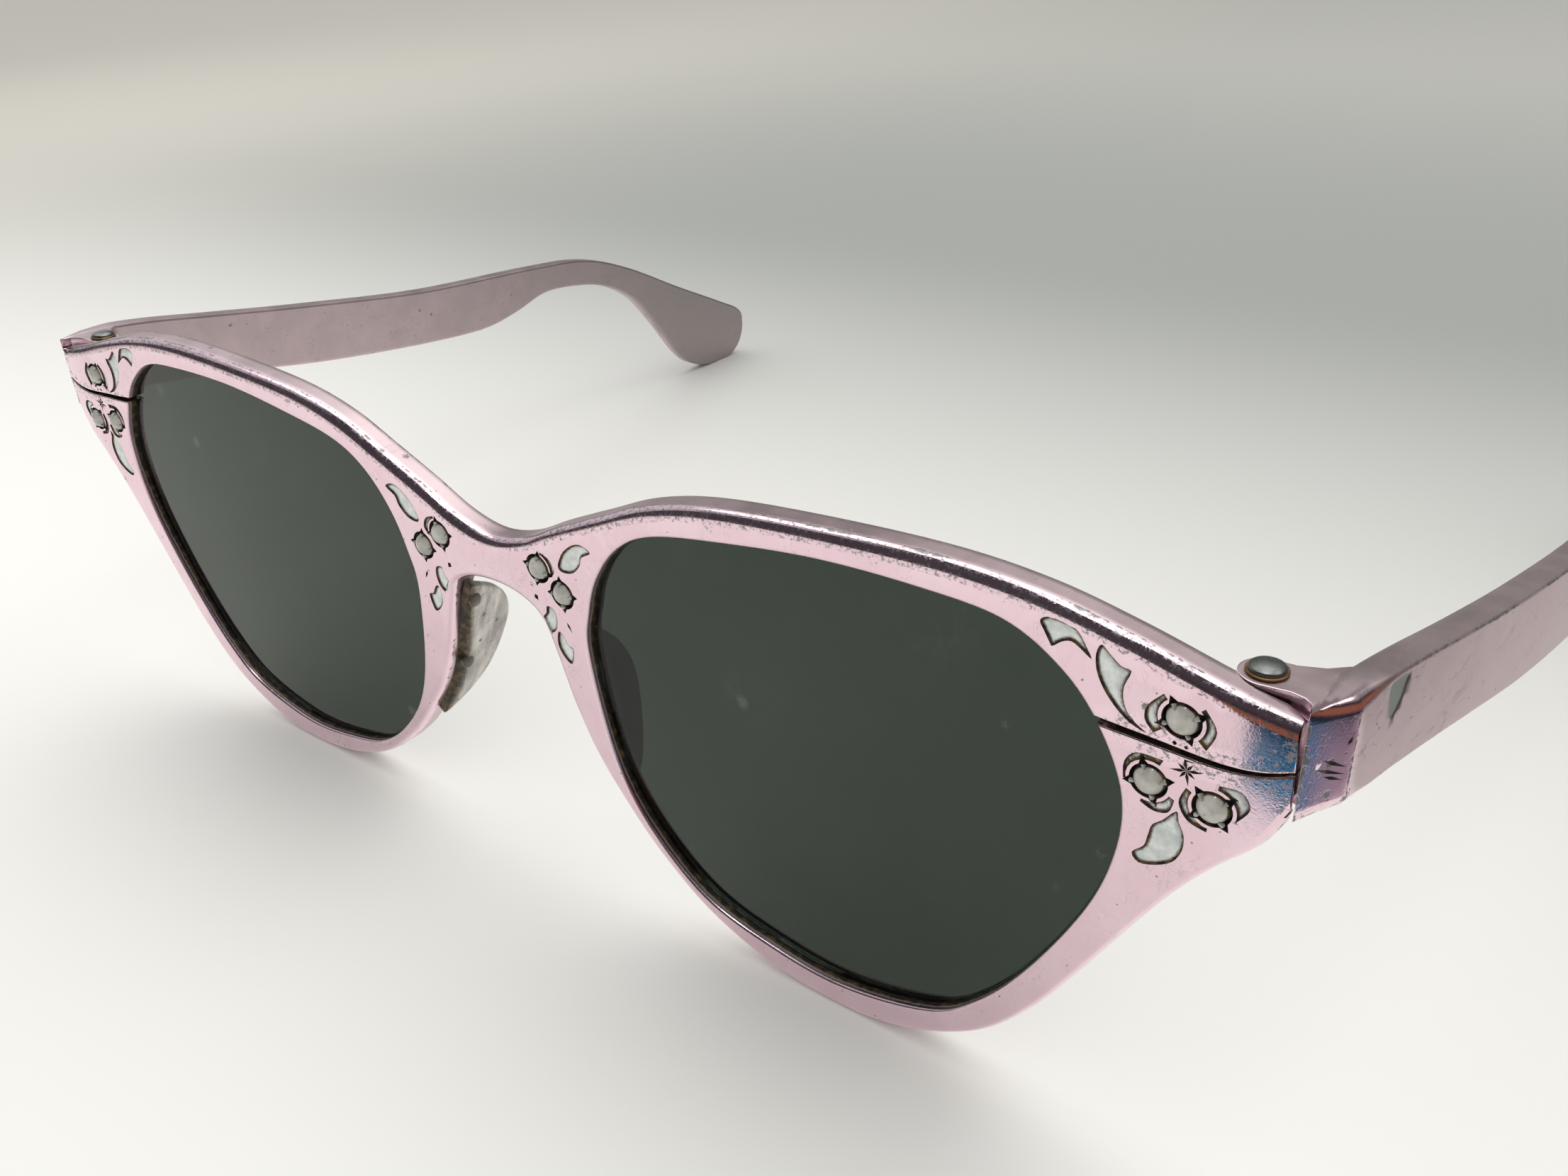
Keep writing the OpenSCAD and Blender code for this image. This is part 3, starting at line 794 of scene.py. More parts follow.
def pink_metal():
    """Bright pink face, polished bevels with tarnish and a painted dark reflection, matte sides, worn and
    dirty edges, painted shade with dirt on the gap walls.
    """
    m, t, s, at = new_material("pink anodised aluminium", Metallic=1.0)
    satin = use_group(t, "satin", {"Vector": at, "Cloud scale": 230.0, "Grain scale": 7000.0})
    # soil here is painted shade with some dirt on the walls of the lens openings and slits
    edge, soil = mask_of(t, "edge"), mask_of(t, "gap_shade_and_dirt")
    polish, matte = mask_of(t, "polish"), mask_of(t, "matte")
    wear = use_group(t, "edge_wear", {"Vector": at, "Edge": edge, "Scale": 1300.0, "Reach": 0.42})["Mask"]
    lines = use_group(t, "scratches", {"Vector": at, "Scale": 900.0, "Amount": 0.7})["Mask"]
    spots = use_group(t, "specks", {"Vector": at, "Scale": 800.0, "Amount": 0.03})["Mask"]
    small = use_group(t, "specks", {"Vector": at, "Scale": 2600.0, "Amount": 0.035})["Mask"]
    spots = math_node(t, "MAXIMUM", spots, small)
    pink = mix_colour(t, satin["Cloud"], (0.85, 0.635, 0.715), (0.9, 0.69, 0.765))
    pale = mix_colour(t, satin["Cloud"], (0.60, 0.475, 0.50), (0.68, 0.54, 0.565))
    pale = mix_colour(t, mask_of(t, "handled"), pale, (0.34, 0.305, 0.30))
    pink = mix_colour(t, matte, pink, pale)
    # Mottled dark grey on the polished brow bevel: tarnish, and a painted dark reflection that widens the
    # dark band in the bevel.
    tarnish_and_dark_reflection = math_node(t, "MULTIPLY", step_node(t, noise(t, at, 3200.0, 5, 0.75), 0.5, 0.58),
                       step_node(t, polish, 0.85, 1.0))
    pink = mix_colour(t, tarnish_and_dark_reflection, pink, (0.4, 0.37, 0.4))
    chipped = mix_colour(t, noise(t, at, 2200.0, 3), (0.16, 0.15, 0.15), (0.52, 0.5, 0.5))
    marks = math_node(t, "MAXIMUM", math_node(t, "MULTIPLY", lines, 0.55), wear)
    marks = math_node(t, "MAXIMUM", marks, math_node(t, "MULTIPLY", spots, 0.9))
    worn = mix_colour(t, marks, pink, chipped)
    # the grime paints the shade and dirt of the gap walls
    dirty = use_group(t, "grime_and_shade", {"Vector": at, "Soil": soil, "Colour": worn})
    t.links.new(dirty["Colour"], s.inputs["Base Color"])
    rough = math_node(t, "MULTIPLY_ADD", satin["Cloud"], 0.06, 0.25)
    rough = math_node(t, "MULTIPLY_ADD", polish, -0.19, rough)
    rough = math_node(t, "MULTIPLY_ADD", matte, 0.09, rough)
    rough = math_node(t, "MULTIPLY_ADD", tarnish_and_dark_reflection, 0.3, rough)
    dull = math_node(t, "MAXIMUM", marks, dirty["Mask"])
    rough = math_node(t, "MULTIPLY_ADD", dull, 0.3, rough, clamp=True)
    t.links.new(rough, s.inputs["Roughness"])
    t.links.new(metal_under(t, dirty["Mask"], 0.9), s.inputs["Metallic"])
    height = math_node(t, "SUBTRACT", satin["Height"], math_node(t, "MULTIPLY", marks, 0.8))
    bump(t, s, height, 0.25, 0.00004)
    return m


def cut_metal():
    """Bare metal in the engraving, bright where it is clean."""
    m, t, s, at = new_material("bright cut aluminium", Metallic=1.0)
    satin = use_group(t, "satin", {"Vector": at, "Cloud scale": 900.0, "Grain scale": 9000.0})
    lines = use_group(t, "scratches", {"Vector": at, "Scale": 2600.0, "Amount": 0.6})["Mask"]
    bare = mix_colour(t, satin["Cloud"], (0.62, 0.66, 0.65), (0.85, 0.88, 0.87))
    bare = mix_colour(t, lines, bare, (0.3, 0.3, 0.28))
    bare = mix_colour(t, mask_of(t, "handled"), bare, (0.27, 0.31, 0.28))
    dirty = use_group(t, "grime_and_shade", {"Vector": at, "Soil": mask_of(t, "soil"), "Colour": bare})
    t.links.new(dirty["Colour"], s.inputs["Base Color"])
    t.links.new(math_node(t, "MULTIPLY_ADD", dirty["Mask"], 0.4, 0.4), s.inputs["Roughness"])
    t.links.new(metal_under(t, dirty["Mask"], 0.95), s.inputs["Metallic"])
    bump(t, s, satin["Height"], 0.4, 0.00006)
    return m


STREAK = (30 / 7, 30 / 7, 1.0)        # rubbed metal is cloudy in streaks that run up and down


def bare_metal(name, light, dark, rough):
    """Rubbed bare metal with streaks, scratches and dirt."""
    m, t, s, at = new_material(name, Metallic=1.0)
    along = node(t, "ShaderNodeMapping", {"Vector": at, "Scale": STREAK}).outputs[0]
    satin = use_group(t, "satin", {"Vector": along, "Cloud scale": 160.0, "Grain scale": 5000.0})
    lines = use_group(t, "scratches", {"Vector": at, "Scale": 1500.0, "Amount": 0.8})["Mask"]
    spots = use_group(t, "specks", {"Vector": at, "Scale": 1100.0, "Amount": 0.06})["Mask"]
    colour = mix_colour(t, satin["Cloud"], dark, light)
    colour = mix_colour(t, math_node(t, "MAXIMUM", lines, spots), colour, tuple(c * 0.4 for c in dark))
    dirty = use_group(t, "grime_and_shade", {"Vector": at, "Soil": mask_of(t, "soil"), "Colour": colour})
    t.links.new(dirty["Colour"], s.inputs["Base Color"])
    t.links.new(math_node(t, "MULTIPLY_ADD", satin["Cloud"], -0.08, rough + 0.08), s.inputs["Roughness"])
    t.links.new(metal_under(t, dirty["Mask"], 0.8), s.inputs["Metallic"])
    bump(t, s, satin["Height"], 0.35, 0.00005)
    return m


def lens_glass():
    """Dark green glass with a few fine scratches and specks of dust."""
    m, t, s, at = new_material("green lens glass", Transmission_Weight=1.0, IOR=1.33,
                               Specular_IOR_Level=0.35)
    satin = use_group(t, "satin", {"Vector": at, "Cloud scale": 60.0, "Grain scale": 4000.0})
    lines = use_group(t, "scratches", {"Vector": at, "Scale": 160.0, "Amount": 0.5})["Mask"]
    dust = use_group(t, "specks", {"Vector": at, "Scale": 420.0, "Amount": 0.02})["Mask"]
    green = mix_colour(t, satin["Cloud"], (0.030, 0.042, 0.033), (0.034, 0.047, 0.037))
    marks = math_node(t, "MAXIMUM", math_node(t, "MULTIPLY", lines, 0.12),
                      math_node(t, "MULTIPLY", dust, 0.5))
    t.links.new(mix_colour(t, marks, green, (0.3, 0.33, 0.3)), s.inputs["Base Color"])
    rough = math_node(t, "MULTIPLY_ADD", marks, 0.4, math_node(t, "MULTIPLY", satin["Cloud"], 0.015))
    t.links.new(rough, s.inputs["Roughness"])
    return m


def pearl_bead():
    """Clouded pearl with a thin gloss and dirt round its foot."""
    m, t, s, at = new_material("pearl", Subsurface_Weight=0.15, Subsurface_Scale=0.0006,
                               IOR=1.55, Sheen_Weight=0.1, Coat_Roughness=0.1)
    satin = use_group(t, "satin", {"Vector": at, "Cloud scale": 1100.0, "Grain scale": 9000.0})
    spots = use_group(t, "specks", {"Vector": at, "Scale": 2200.0, "Amount": 0.05})["Mask"]
    white = mix_colour(t, satin["Cloud"], (0.36, 0.35, 0.31), (0.52, 0.51, 0.47))
    white = mix_colour(t, math_node(t, "MULTIPLY", spots, 0.5), white, (0.16, 0.13, 0.09))
    dirty = use_group(t, "grime_and_shade", {"Vector": at, "Soil": mask_of(t, "soil"), "Colour": white})
    t.links.new(dirty["Colour"], s.inputs["Base Color"])
    t.links.new(math_node(t, "MULTIPLY_ADD", satin["Cloud"], 0.1, 0.28), s.inputs["Roughness"])
    t.links.new(math_node(t, "MULTIPLY_ADD", satin["Cloud"], 0.3, 0.6), s.inputs["Coat Weight"])
    bump(t, s, satin["Height"], 0.2, 0.00004)
    return m


PINK, CUT = pink_metal(), cut_metal()
PAD = bare_metal("rubbed bare aluminium", (0.62, 0.6, 0.57), (0.34, 0.32, 0.3), 0.34)
STEEL = bare_metal("tarnished steel", (0.26, 0.27, 0.26), (0.14, 0.145, 0.14), 0.3)
BRASS = bare_metal("aged brass", (0.42, 0.27, 0.12), (0.16, 0.09, 0.04), 0.4)
GLASS, PEARL = lens_glass(), pearl_bead()


# ------------------------------------------------------------------ fitting a piece to its node

def fit(piece, nodes):
    """The piece moves with its nodes' body and stands for them, which are hidden."""
    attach(piece, frame["nodes"][nodes[0]]["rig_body"])
    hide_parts(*nodes)
    return piece


# ------------------------------------------------------------------ the front

def front_outline():
    """The whole outline with both lens openings joined to it by their slits, clockwise,
    the kind of each edge, and the line of one lens opening."""
    brow = smooth_line(np.concatenate([mirrored(BROW)[:-1], BROW]), 8)
    brow = brow[brow[:, 0] >= -1e-9]
    under = smooth_line(np.concatenate([UNDER, mirrored(UNDER)[1:]]), 8)
    under = under[under[:, 0] >= -1e-9]
    under[:, 1] = np.maximum(under[:, 1], 0)
    eye = smooth_line(EYE, 8, closed=True)[::-1] + EYE_CORNER
    ring = np.concatenate([eye, eye[:1]])
    slit = smooth_line(SLIT, 6)
    half = np.linspace(*SLIT_WIDTH, len(slit)) / 2
    upper, lower = slit + np.c_[0 * half, half], slit - np.c_[0 * half, half]
    end = np.linspace(brow[-1], under[0], 15)
    end[:, 0] += END_BOW * np.sin(np.linspace(0, math.pi, len(end)))
    top_in, top_eye, top_step = meeting(ring, upper)
    low_in, low_eye, low_step = meeting(ring, lower)
    top_out, top_end, top_far = meeting(end, upper)
    low_out, low_end, low_far = meeting(end, lower)
    n = len(eye)
    around = [eye[(top_eye + 1 + k) % n] for k in range((low_eye - top_eye) % n)]
    corners = np.array([top_in, low_in, top_out, low_out])

    def clear(line, far=0.4, corners=corners):
        """The points of a line that leave room for the bevels round the corners."""
        line = np.array(line, float).reshape(-1, 2)
        return line[np.linalg.norm(line[:, None] - corners[None], axis=2).min(1) > far]

    end_low = clear(end[low_end + 1:-1], 1.4, np.array([under[0]]))
    parts = [
        (brow[:-1], "brow"), (brow[-1:], "end"), (clear(end[3:top_end + 1]), "end"),
        ([top_out], "slit"), (clear(upper[top_far:top_step:-1]), "slit"), ([top_in], "eye"),
        (clear(around), "eye"), ([low_in], "slit"),
        (clear(lower[low_step + 1:low_far + 1]), "slit"), ([low_out], "end"),
        (clear(end_low), "end"), (under[:-1], "edge")]
    points = np.concatenate([np.array(p, float).reshape(-1, 2) for p, _ in parts])
    kinds = [k for p, k in parts for _ in range(len(p))]
    # the edge after each point of the mirrored half is the one before it in this half
    points = np.concatenate([points, under[-1:], mirrored(points[1:])])
    kinds = kinds + ["edge"] + kinds[:0:-1][:-1] + ["brow"]
    return points, kinds, eye[::-1]


def round_pin(radius, start, end, steps, endpoint=True):
    """Points round the hinge pin, seen from above."""
    return [(PIN_X + radius * math.cos(a), PIN_Y + radius * math.sin(a))
            for a in np.linspace(start, end, steps, endpoint=endpoint)]


def ear_room_line():
    """The room that an ear turns in, seen from above."""
    return [(PIN_X, 8)] + round_pin(LOBE_R + SLOT_GAP, math.pi / 2, 1.5 * math.pi, 17) + [
        (64.9, 1.83), (65.6, 1.45), (66.05, 0.9), (66.3, 0.2), (69, 0.2), (69, 8)]


def plan_solid(name, line, holes, z0, z1, side, bevel, top=None):
    """A solid with this outline seen from above, between two heights; top is a slope to follow."""
    line = clockwise(line)
    holes = [clockwise(h)[::-1] for h in holes]
    loops = [(p, bevel, bevel, bevel, bevel) for p in [line] + holes]
    steps = [(0.5, line.min(0), line.max(0))]
    points, faces = plate(loops, z1 - z0, steps, rounds=3, wall_rows=1)
    height = z0 + points[:, 2]
    if top is not None:
        height = np.minimum(height, z1) - (z1 - top(points[:, 1])) * points[:, 2] / (z1 - z0)
    return make_piece(name, placed(np.c_[points[:, 0] * side, points[:, 1], height]), faces, [PINK])


def add_lugs(front):
    """Room for the ears, then the lugs between them, each in two halves beside the slit."""
    room = ear_room_line()
    lug = [(PIN_X - LOBE_R, LUG_FOOT_Y)] + [
        (PIN_X - LOBE_R * math.cos(a), PIN_Y + LOBE_R * math.sin(a)) for a in np.linspace(0, math.pi, 17)
    ] + [(PIN_X + LOBE_R, LUG_FOOT_Y)]
    for side in (1, -1):
        for z0, z1 in EAR_ROOMS:
            joined(front, plan_solid("room", room, [], z0, z1, side, 0), "DIFFERENCE")
        for z0, z1 in LUG_HALVES:
            joined(front, plan_solid("lug", lug, [], z0, z1, side, PLAN_BEVEL), "UNION")


def close_to(*places):
    """1 at a place and less away from it; each of places is (value, middle, reach)."""
    return np.exp(-sum(((value - middle) / reach) ** 2 for value, middle, reach in places))


def make_front():
    outline, kinds, eye = front_outline()
    width = np.array([BEVEL[k][0] for k in kinds])
    depth = np.array([BEVEL[k][1] for k in kinds])
    depth = np.maximum(depth, np.roll(depth, 1))
    low, high = outline.min(0), outline.max(0)
    steps = [(1.6, low, high), (0.45, (BEND_X, 26), (67, 40)), (0.45, (-67, 26), (-BEND_X, 40))]
    loops = [(outline, width, depth, BACK_BEVEL, BACK_BEVEL)]
    points, faces = plate(loops, FRONT_T, steps, front_cuts)
    front = make_piece("cat_eye_front", placed(points[:, [0, 2, 1]]), faces, [PINK, CUT])
    add_lugs(front)
    co = vertex_places(front)
    straight_y = co[:, 1].copy()
    # the ends of the face bend back
    over = np.maximum(np.abs(co[:, 0]) - BEND_X, 0)
    co[:, 1] += BEND * over ** 2 * np.clip(1 - co[:, 1] / FRONT_T, 0, 1)
    store(front, co)
    mark_front(front, co, straight_y, outline, eye)
    return fit(front, ["front_frame"])


def mark_front(front, co, straight_y, outline, eye):
    """Where the front is dirty, where its gap walls get painted shade, and where it is worn, polished,
    matte or cut; straight_y is y before the bend.
    """
    x, y, z = np.abs(co[:, 0]), co[:, 1], co[:, 2]
    plan = co[:, [0, 2]]
    deep, soil, _ = relief(plan, front_cuts)
    outer = -depth_inside(plan, outline)
    in_eye = np.maximum(depth_inside(plan, eye), depth_inside(plan, eye * (-1, 1)))
    by_eye = in_eye > -0.4
    slit_z = np.interp(x, *smooth_line(SLIT, 6).T)
    by_slit = (x > 54.6) & (x < 66.1) & (np.abs(z - slit_z) < 0.35)
    wall = ((in_eye > -0.02) & (straight_y > 0.3)) | (
        by_slit & (straight_y > 0.06) & (straight_y < 2.5))
    front_edge = close_to((outer, -0.05, 0.25), (y, 0.75, 0.3))
    back_edge = close_to((outer, -0.05, 0.25), (y, 2.5, 0.25))
    edge = np.where(by_eye, 0.2 * close_to((y, 0, 0.3)), np.maximum(front_edge, back_edge))
    upper = z > CORNER_Z
    wide = np.where(upper, BEVEL["brow"][0], BEVEL["edge"][0]) + FLAT_RING
    bevel = ~by_eye & (straight_y < 0.79) & (outer > -wide) & (outer < 0.7)
    brow = 0.8 + 0.2 * upper
    ends = np.clip((x - BEND_X) / 2.5, 0, 1) * (y < 0.9)
    matte = (y > 0.82) & (y < 2.5) & (outer > -0.05)
    # The walls of the lens openings and slits get painted shade, dark brown to black, with some dirt.
    set_mask(front, "gap_shade_and_dirt", wall * 1.4)
    set_mask(front, "edge", edge)
    set_mask(front, "polish", np.maximum(bevel * brow, ends * 0.8) * (1 - np.clip(deep * 20, 0, 1)))
    set_mask(front, "matte", matte * 1.0)
    mark_cut_faces(front, co, front_cuts, (0, 2), lambda m: m[:, 1] < 1.05)
    # the walls that the ears turn beside are bare and dirty
    room = ear_room_line()
    for face in front.data.polygons:
        mid_x, mid_y, _ = co[list(face.vertices)].mean(0)
        if abs(mid_x) > 61 and mid_y > 0.15 and abs(face.normal.z) < 0.6 and abs(
                depth_inside([(abs(mid_x), mid_y)], room)[0]) < 0.03:
            face.material_index = 1
            soil[list(face.vertices)] = 1
    set_mask(front, "soil", soil)


def mark_cut_faces(obj, co, shapes, plane, near):
    """Faces inside an engraved shape get the second material; near says which side is engraved."""
    mids = np.array([co[list(f.vertices)].mean(0) for f in obj.data.polygons])
    inside = relief(mids[:, list(plane)], shapes)[2]
    obj.data.polygons.foreach_set("material_index", (inside & near(mids)).astype(np.int32))
    obj.data.update()


# ------------------------------------------------------------------ temples

def arm_line(y):
    """x of the outer side of the arm."""
    spread, back = ARM_BOW
    return ARM_OUT + spread * (y - CORNER_Y) - back * (y - CORNER_Y) ** 2


def arm_outer(y):
    """x of the outer side, with the mitred face in front of the block's corner."""
    y = np.asarray(y, float)
    mitre = ARM_IN + (ARM_OUT - ARM_IN) * (y - MITRE_FOOT_Y) / (CORNER_Y - MITRE_FOOT_Y)
    return np.where(y < CORNER_Y, mitre, np.minimum(arm_line(y), ARM_REACH[0]))


def arm_inner(y):
    """x of the inner side: flat on the block, then along the arm, which thins to its tip."""
    y = np.asarray(y, float)
    arm = arm_line(y) - ARM_T + 0.5 * np.maximum(y - 60, 0) / 127
    behind = np.clip((y - BLOCK_Y) / BLOCK_STEP, 0, 1)
    return np.where(y < BLOCK_Y, ARM_IN, ARM_IN + (arm - ARM_IN) * behind)


def temple_line():
    """The outline of a temple seen from the side, clockwise, with the corner of its block."""
    line = smooth_line(ARM_TOP + ARM_LOW, 6)
    line = np.c_[np.minimum(line[:, 0], ARM_REACH[1]), np.maximum(line[:, 1], 0)]
    line = np.concatenate([[(MITRE_Y, EAR_TOP), (1.2, EAR_TOP)], line, BLOCK_LOW])
    i = next(i for i in range(len(line) - 1) if line[i][0] < CORNER_Y < line[i + 1][0])
    s = (CORNER_Y - line[i][0]) / (line[i + 1][0] - line[i][0])
    return np.insert(line, i + 1, line[i] * (1 - s) + line[i + 1] * s, 0)


def make_temple(side, who):
    line = temple_line()
    y = line[:, 0]
    on_block = np.clip((7 - y) / 3, 0, 1)
    width = 0.28 + 0.6 * on_block
    width[-1] = 0.06
    depth = np.where(y < 1.2, 0.3, 0.28 + 0.5 * on_block)
    low, high = line.min(0), line.max(0)
    steps = [(2.2, low, high), (0.8, low, (12, 40))]
    folds = [[(v, z) for z in np.linspace(33.3, 38.6, 8)]
             for v in (CORNER_Y, BLOCK_Y, BLOCK_Y + BLOCK_STEP)]
    points, faces = plate([(line, width, depth, 0.28, 0.28)], ARM_T, steps, block_cuts, folds)
    outer, inner = arm_outer(points[:, 0]), arm_inner(points[:, 0])
    x = outer - points[:, 2] * (outer - inner) / ARM_T
    flat = np.c_[x * side, points[:, 0], points[:, 1]]
    temple = make_piece(who + "_temple_arm", placed(flat), faces, [PINK, CUT], crease=28)
    add_ears(temple, side)
    mark_temple(temple, line)
    return fit(temple, [who + "_temple"])


def add_ears(temple, side):
    """The two ears that reach over and under the lug, with the bore for the barrel."""
    top_line = smooth_line(ARM_TOP, 6)[:20]

    def top(v):
        return np.interp(v, top_line[:, 0], top_line[:, 1]) - 0.012

    ear = round_pin(LOBE_R, math.pi / 2, 1.5 * math.pi, 25) + EAR_ROOT
    bore = round_pin(BARREL_R, 0, TAU, 24, endpoint=False)
    for z0, z1, slope in ((EAR_TOP - EAR_T, EAR_TOP, top), (EAR_LOW + 0.02, EAR_LOW + EAR_T, None)):
        joined(temple, plan_solid("ear", ear, [bore], z0, z1, side, PLAN_BEVEL, slope), "UNION", 28)


def mark_temple(temple, line):
    """Where a temple is dirty, worn, handled, polished, matte or cut."""
    co = vertex_places(temple)
    x, y, plan = np.abs(co[:, 0]), co[:, 1], co[:, 1:]
    across = arm_outer(y) - x
    thick = arm_outer(y) - arm_inner(y)
    inside = depth_inside(plan, line)
    outside = across < 0.5 * thick
    edge = np.where(outside, close_to((inside, 0, 0.3), (across, 0, 0.3)), 0)
    edge = np.maximum(edge, 0.7 * close_to((inside, 0, 0.25), (thick - across, 0, 0.25)))
    edge = np.maximum(edge, 0.75 * close_to((y, CORNER_Y, 0.25), (across, 0, 0.3)))
    soil = np.where(outside & (across < 0.6), relief(plan, block_cuts)[1] * (y < 5), 0)
    block = (y < CORNER_Y + 0.1) & (across < 0.75) & (x > 66.3)
    bevel = (inside < 0.88) & (across < 0.77) & (across > 0.02) & (y < 5)
    arm = np.clip((y - CORNER_Y - 0.1) / 0.3, 0, 1)
    worn_flat = depth_inside(plan, worn_flat_line) > -0.05
    handled = 0.75 * np.clip((y - 40) / 70, 0, 1) * (across > 0.5 * thick) + worn_flat * outside
    matte = np.maximum((inside < 0.02) & (across > 0.3), arm)
    set_mask(temple, "soil", soil)
    set_mask(temple, "edge", edge * 1.25)
    set_mask(temple, "handled", handled)
    set_mask(temple, "polish", np.maximum(block * 0.85, bevel * 0.6))
    set_mask(temple, "matte", np.where(block | bevel, 0.0, matte))
    mark_cut_faces(temple, co, block_cuts, (1, 2), lambda m: arm_outer(m[:, 1]) - np.abs(m[:, 0]) < 0.4)


# ------------------------------------------------------------------ lenses and nose pads

LENS_T, LENS_BEVEL = 1.3, 0.15
LENS_IN_GROOVE = 0.4
LENS_FRONT, LENS_CROWN = 0.95, 0.3    # depth of the rim behind the face, and rise of the middle
LENS_MIDDLE, LENS_HALF = (33.6, 21.4), (23.4, 19.4)


def make_lens(side, who):
    line = inset(smooth_line(EYE, 8, closed=True) + EYE_CORNER, -LENS_IN_GROOVE)
    steps = [(1.5, line.min(0), line.max(0))]
    points, faces = plate([(line,) + (LENS_BEVEL,) * 4], LENS_T, steps)
    away = (((points[:, :2] - LENS_MIDDLE) / LENS_HALF) ** 2).sum(1)
    depth = LENS_FRONT - LENS_CROWN * np.clip(1 - away, -0.1, 1) + points[:, 2]
    flat = np.c_[points[:, 0] * side, depth, points[:, 1]]
    lens = make_piece(who + "_tinted_lens", placed(flat), faces, [GLASS])
    return fit(lens, [who + "_lens"])


PAD_LINE = [
    (1.2, 27.2), (3, 26.2), (5.2, 24.7), (6.9, 22.8), (7.6, 20.6), (7.3, 18.3), (6.5, 16),
    (5.4, 14), (3.8, 12.4), (2, 11.4), (1.2, 11.3)]
PAD_T = 0.9
PAD_FLARE = math.radians(9)
PAD_CUP = 0.22


def make_pad(side, who):
    """A wing that follows the nose side of the rim, cupped and flared towards its back edge."""
    under = smooth_line(np.concatenate([UNDER, mirrored(UNDER)[1:]]), 6)
    nasal = under[(under[:, 0] < 13.5) & (under[:, 0] > 4.4)]
    along = np.gradient(nasal, axis=0)
    along /= np.linalg.norm(along, axis=1)[:, None]
    line = clockwise(smooth_line(PAD_LINE, 5))
    soft = 0.06 + 0.26 * np.clip((line[:, 0] - 1.7) / 0.9, 0, 1)
    steps = [(0.7, line.min(0), line.max(0))]
    points, faces = plate([(line, soft, soft, soft, soft)], PAD_T, steps, rounds=5)
    y, z, w = points.T
    rim_x = np.interp(z, nasal[:, 1], nasal[:, 0])
    out_x = np.interp(z, nasal[:, 1], -np.abs(along[:, 1]))
    out_z = np.interp(z, nasal[:, 1], along[:, 0] * np.sign(along[:, 1]))
    cup = PAD_CUP * np.exp(-(((z - 19) / 4.5) ** 2)) * np.clip(y / 7, 0, 1)
    flare = np.maximum(y - FRONT_T, 0) * math.sin(PAD_FLARE)
    flat = np.c_[(rim_x + out_x * w + cup + flare) * side, y, z + out_z * w]
    pad = make_piece(who + "_pad_wing", placed(flat), faces, [PAD], crease=50)
    co = vertex_places(pad)
    set_mask(pad, "soil", np.clip(1.15 - (co[:, 1] - 1.2) / 1.5, 0, 1) * 0.75)
    return fit(pad, [who + "_nose_pad"])


# ------------------------------------------------------------------ small parts

RIVET_Z = (24.8, 17.6)


def dome(radius, base, height, steps=8):
    """The profile of a dome, from its top down to its foot."""
    return [(radius * math.sin(a), base + height * math.cos(a))
            for a in np.linspace(0, math.pi / 2, steps)]


def make_pearl(name, middle, side, who, number):
    x, z = middle
    foot = -SEAT_DEEP + 0.02
    profile = dome(PEARL_R, PEARL_PROUD - PEARL_R, PEARL_R, 14) + [
        (PEARL_R, -0.62), (PEARL_R - 0.05, -0.7), (PEARL_R - 0.2, foot), (0, foot)]
    bead = lathe(who + "_" + name + "_bead", profile, (x * side, 0, z), (0, -1, 0), [PEARL])
    co = vertex_places(bead)
    # beads of this kind are a little uneven
    rng = np.random.default_rng(number)
    lump = 1 + 0.03 * np.sin(co[:, [0]] * 2.1 + rng.uniform(0, 6)) * np.cos(co[:, [2]] * 1.7)
    mid = np.array([x * side, 0.4, z])
    proud = co[:, [1]] < 0.5
    co = np.where(proud, mid + (co - mid) * np.minimum(lump, 1), co)
    store(bead, co)
    set_mask(bead, "soil", np.clip((co[:, 1] + 0.12) * 3.2, 0, 1))
    return fit(bead, [who + "_" + name])


CLAW_OUT = 1.12                       # from the middle of the pearl
CLAW_PROUD = 0.02
CLAW_LENGTH, CLAW_WIDTH = 0.42, 0.2


def claw_points():
    """Places of the claws on the face, and the way out from each pearl."""
    places, ways = [], []
    for side in (1, -1):
        for middle in PEARLS.values():
            for a in CLAW_TURN:
                turn = claw_angle(a, middle)
                out = np.array([math.cos(turn), math.sin(turn)])
                at = np.array(middle) + CLAW_OUT * out
                back = BEND * max(at[0] - BEND_X, 0) ** 2
                places.append((at[0] * side, back - CLAW_PROUD, at[1]))
                ways.append((out[0] * side, 0, out[1]))
    return placed(places), np.array(ways)


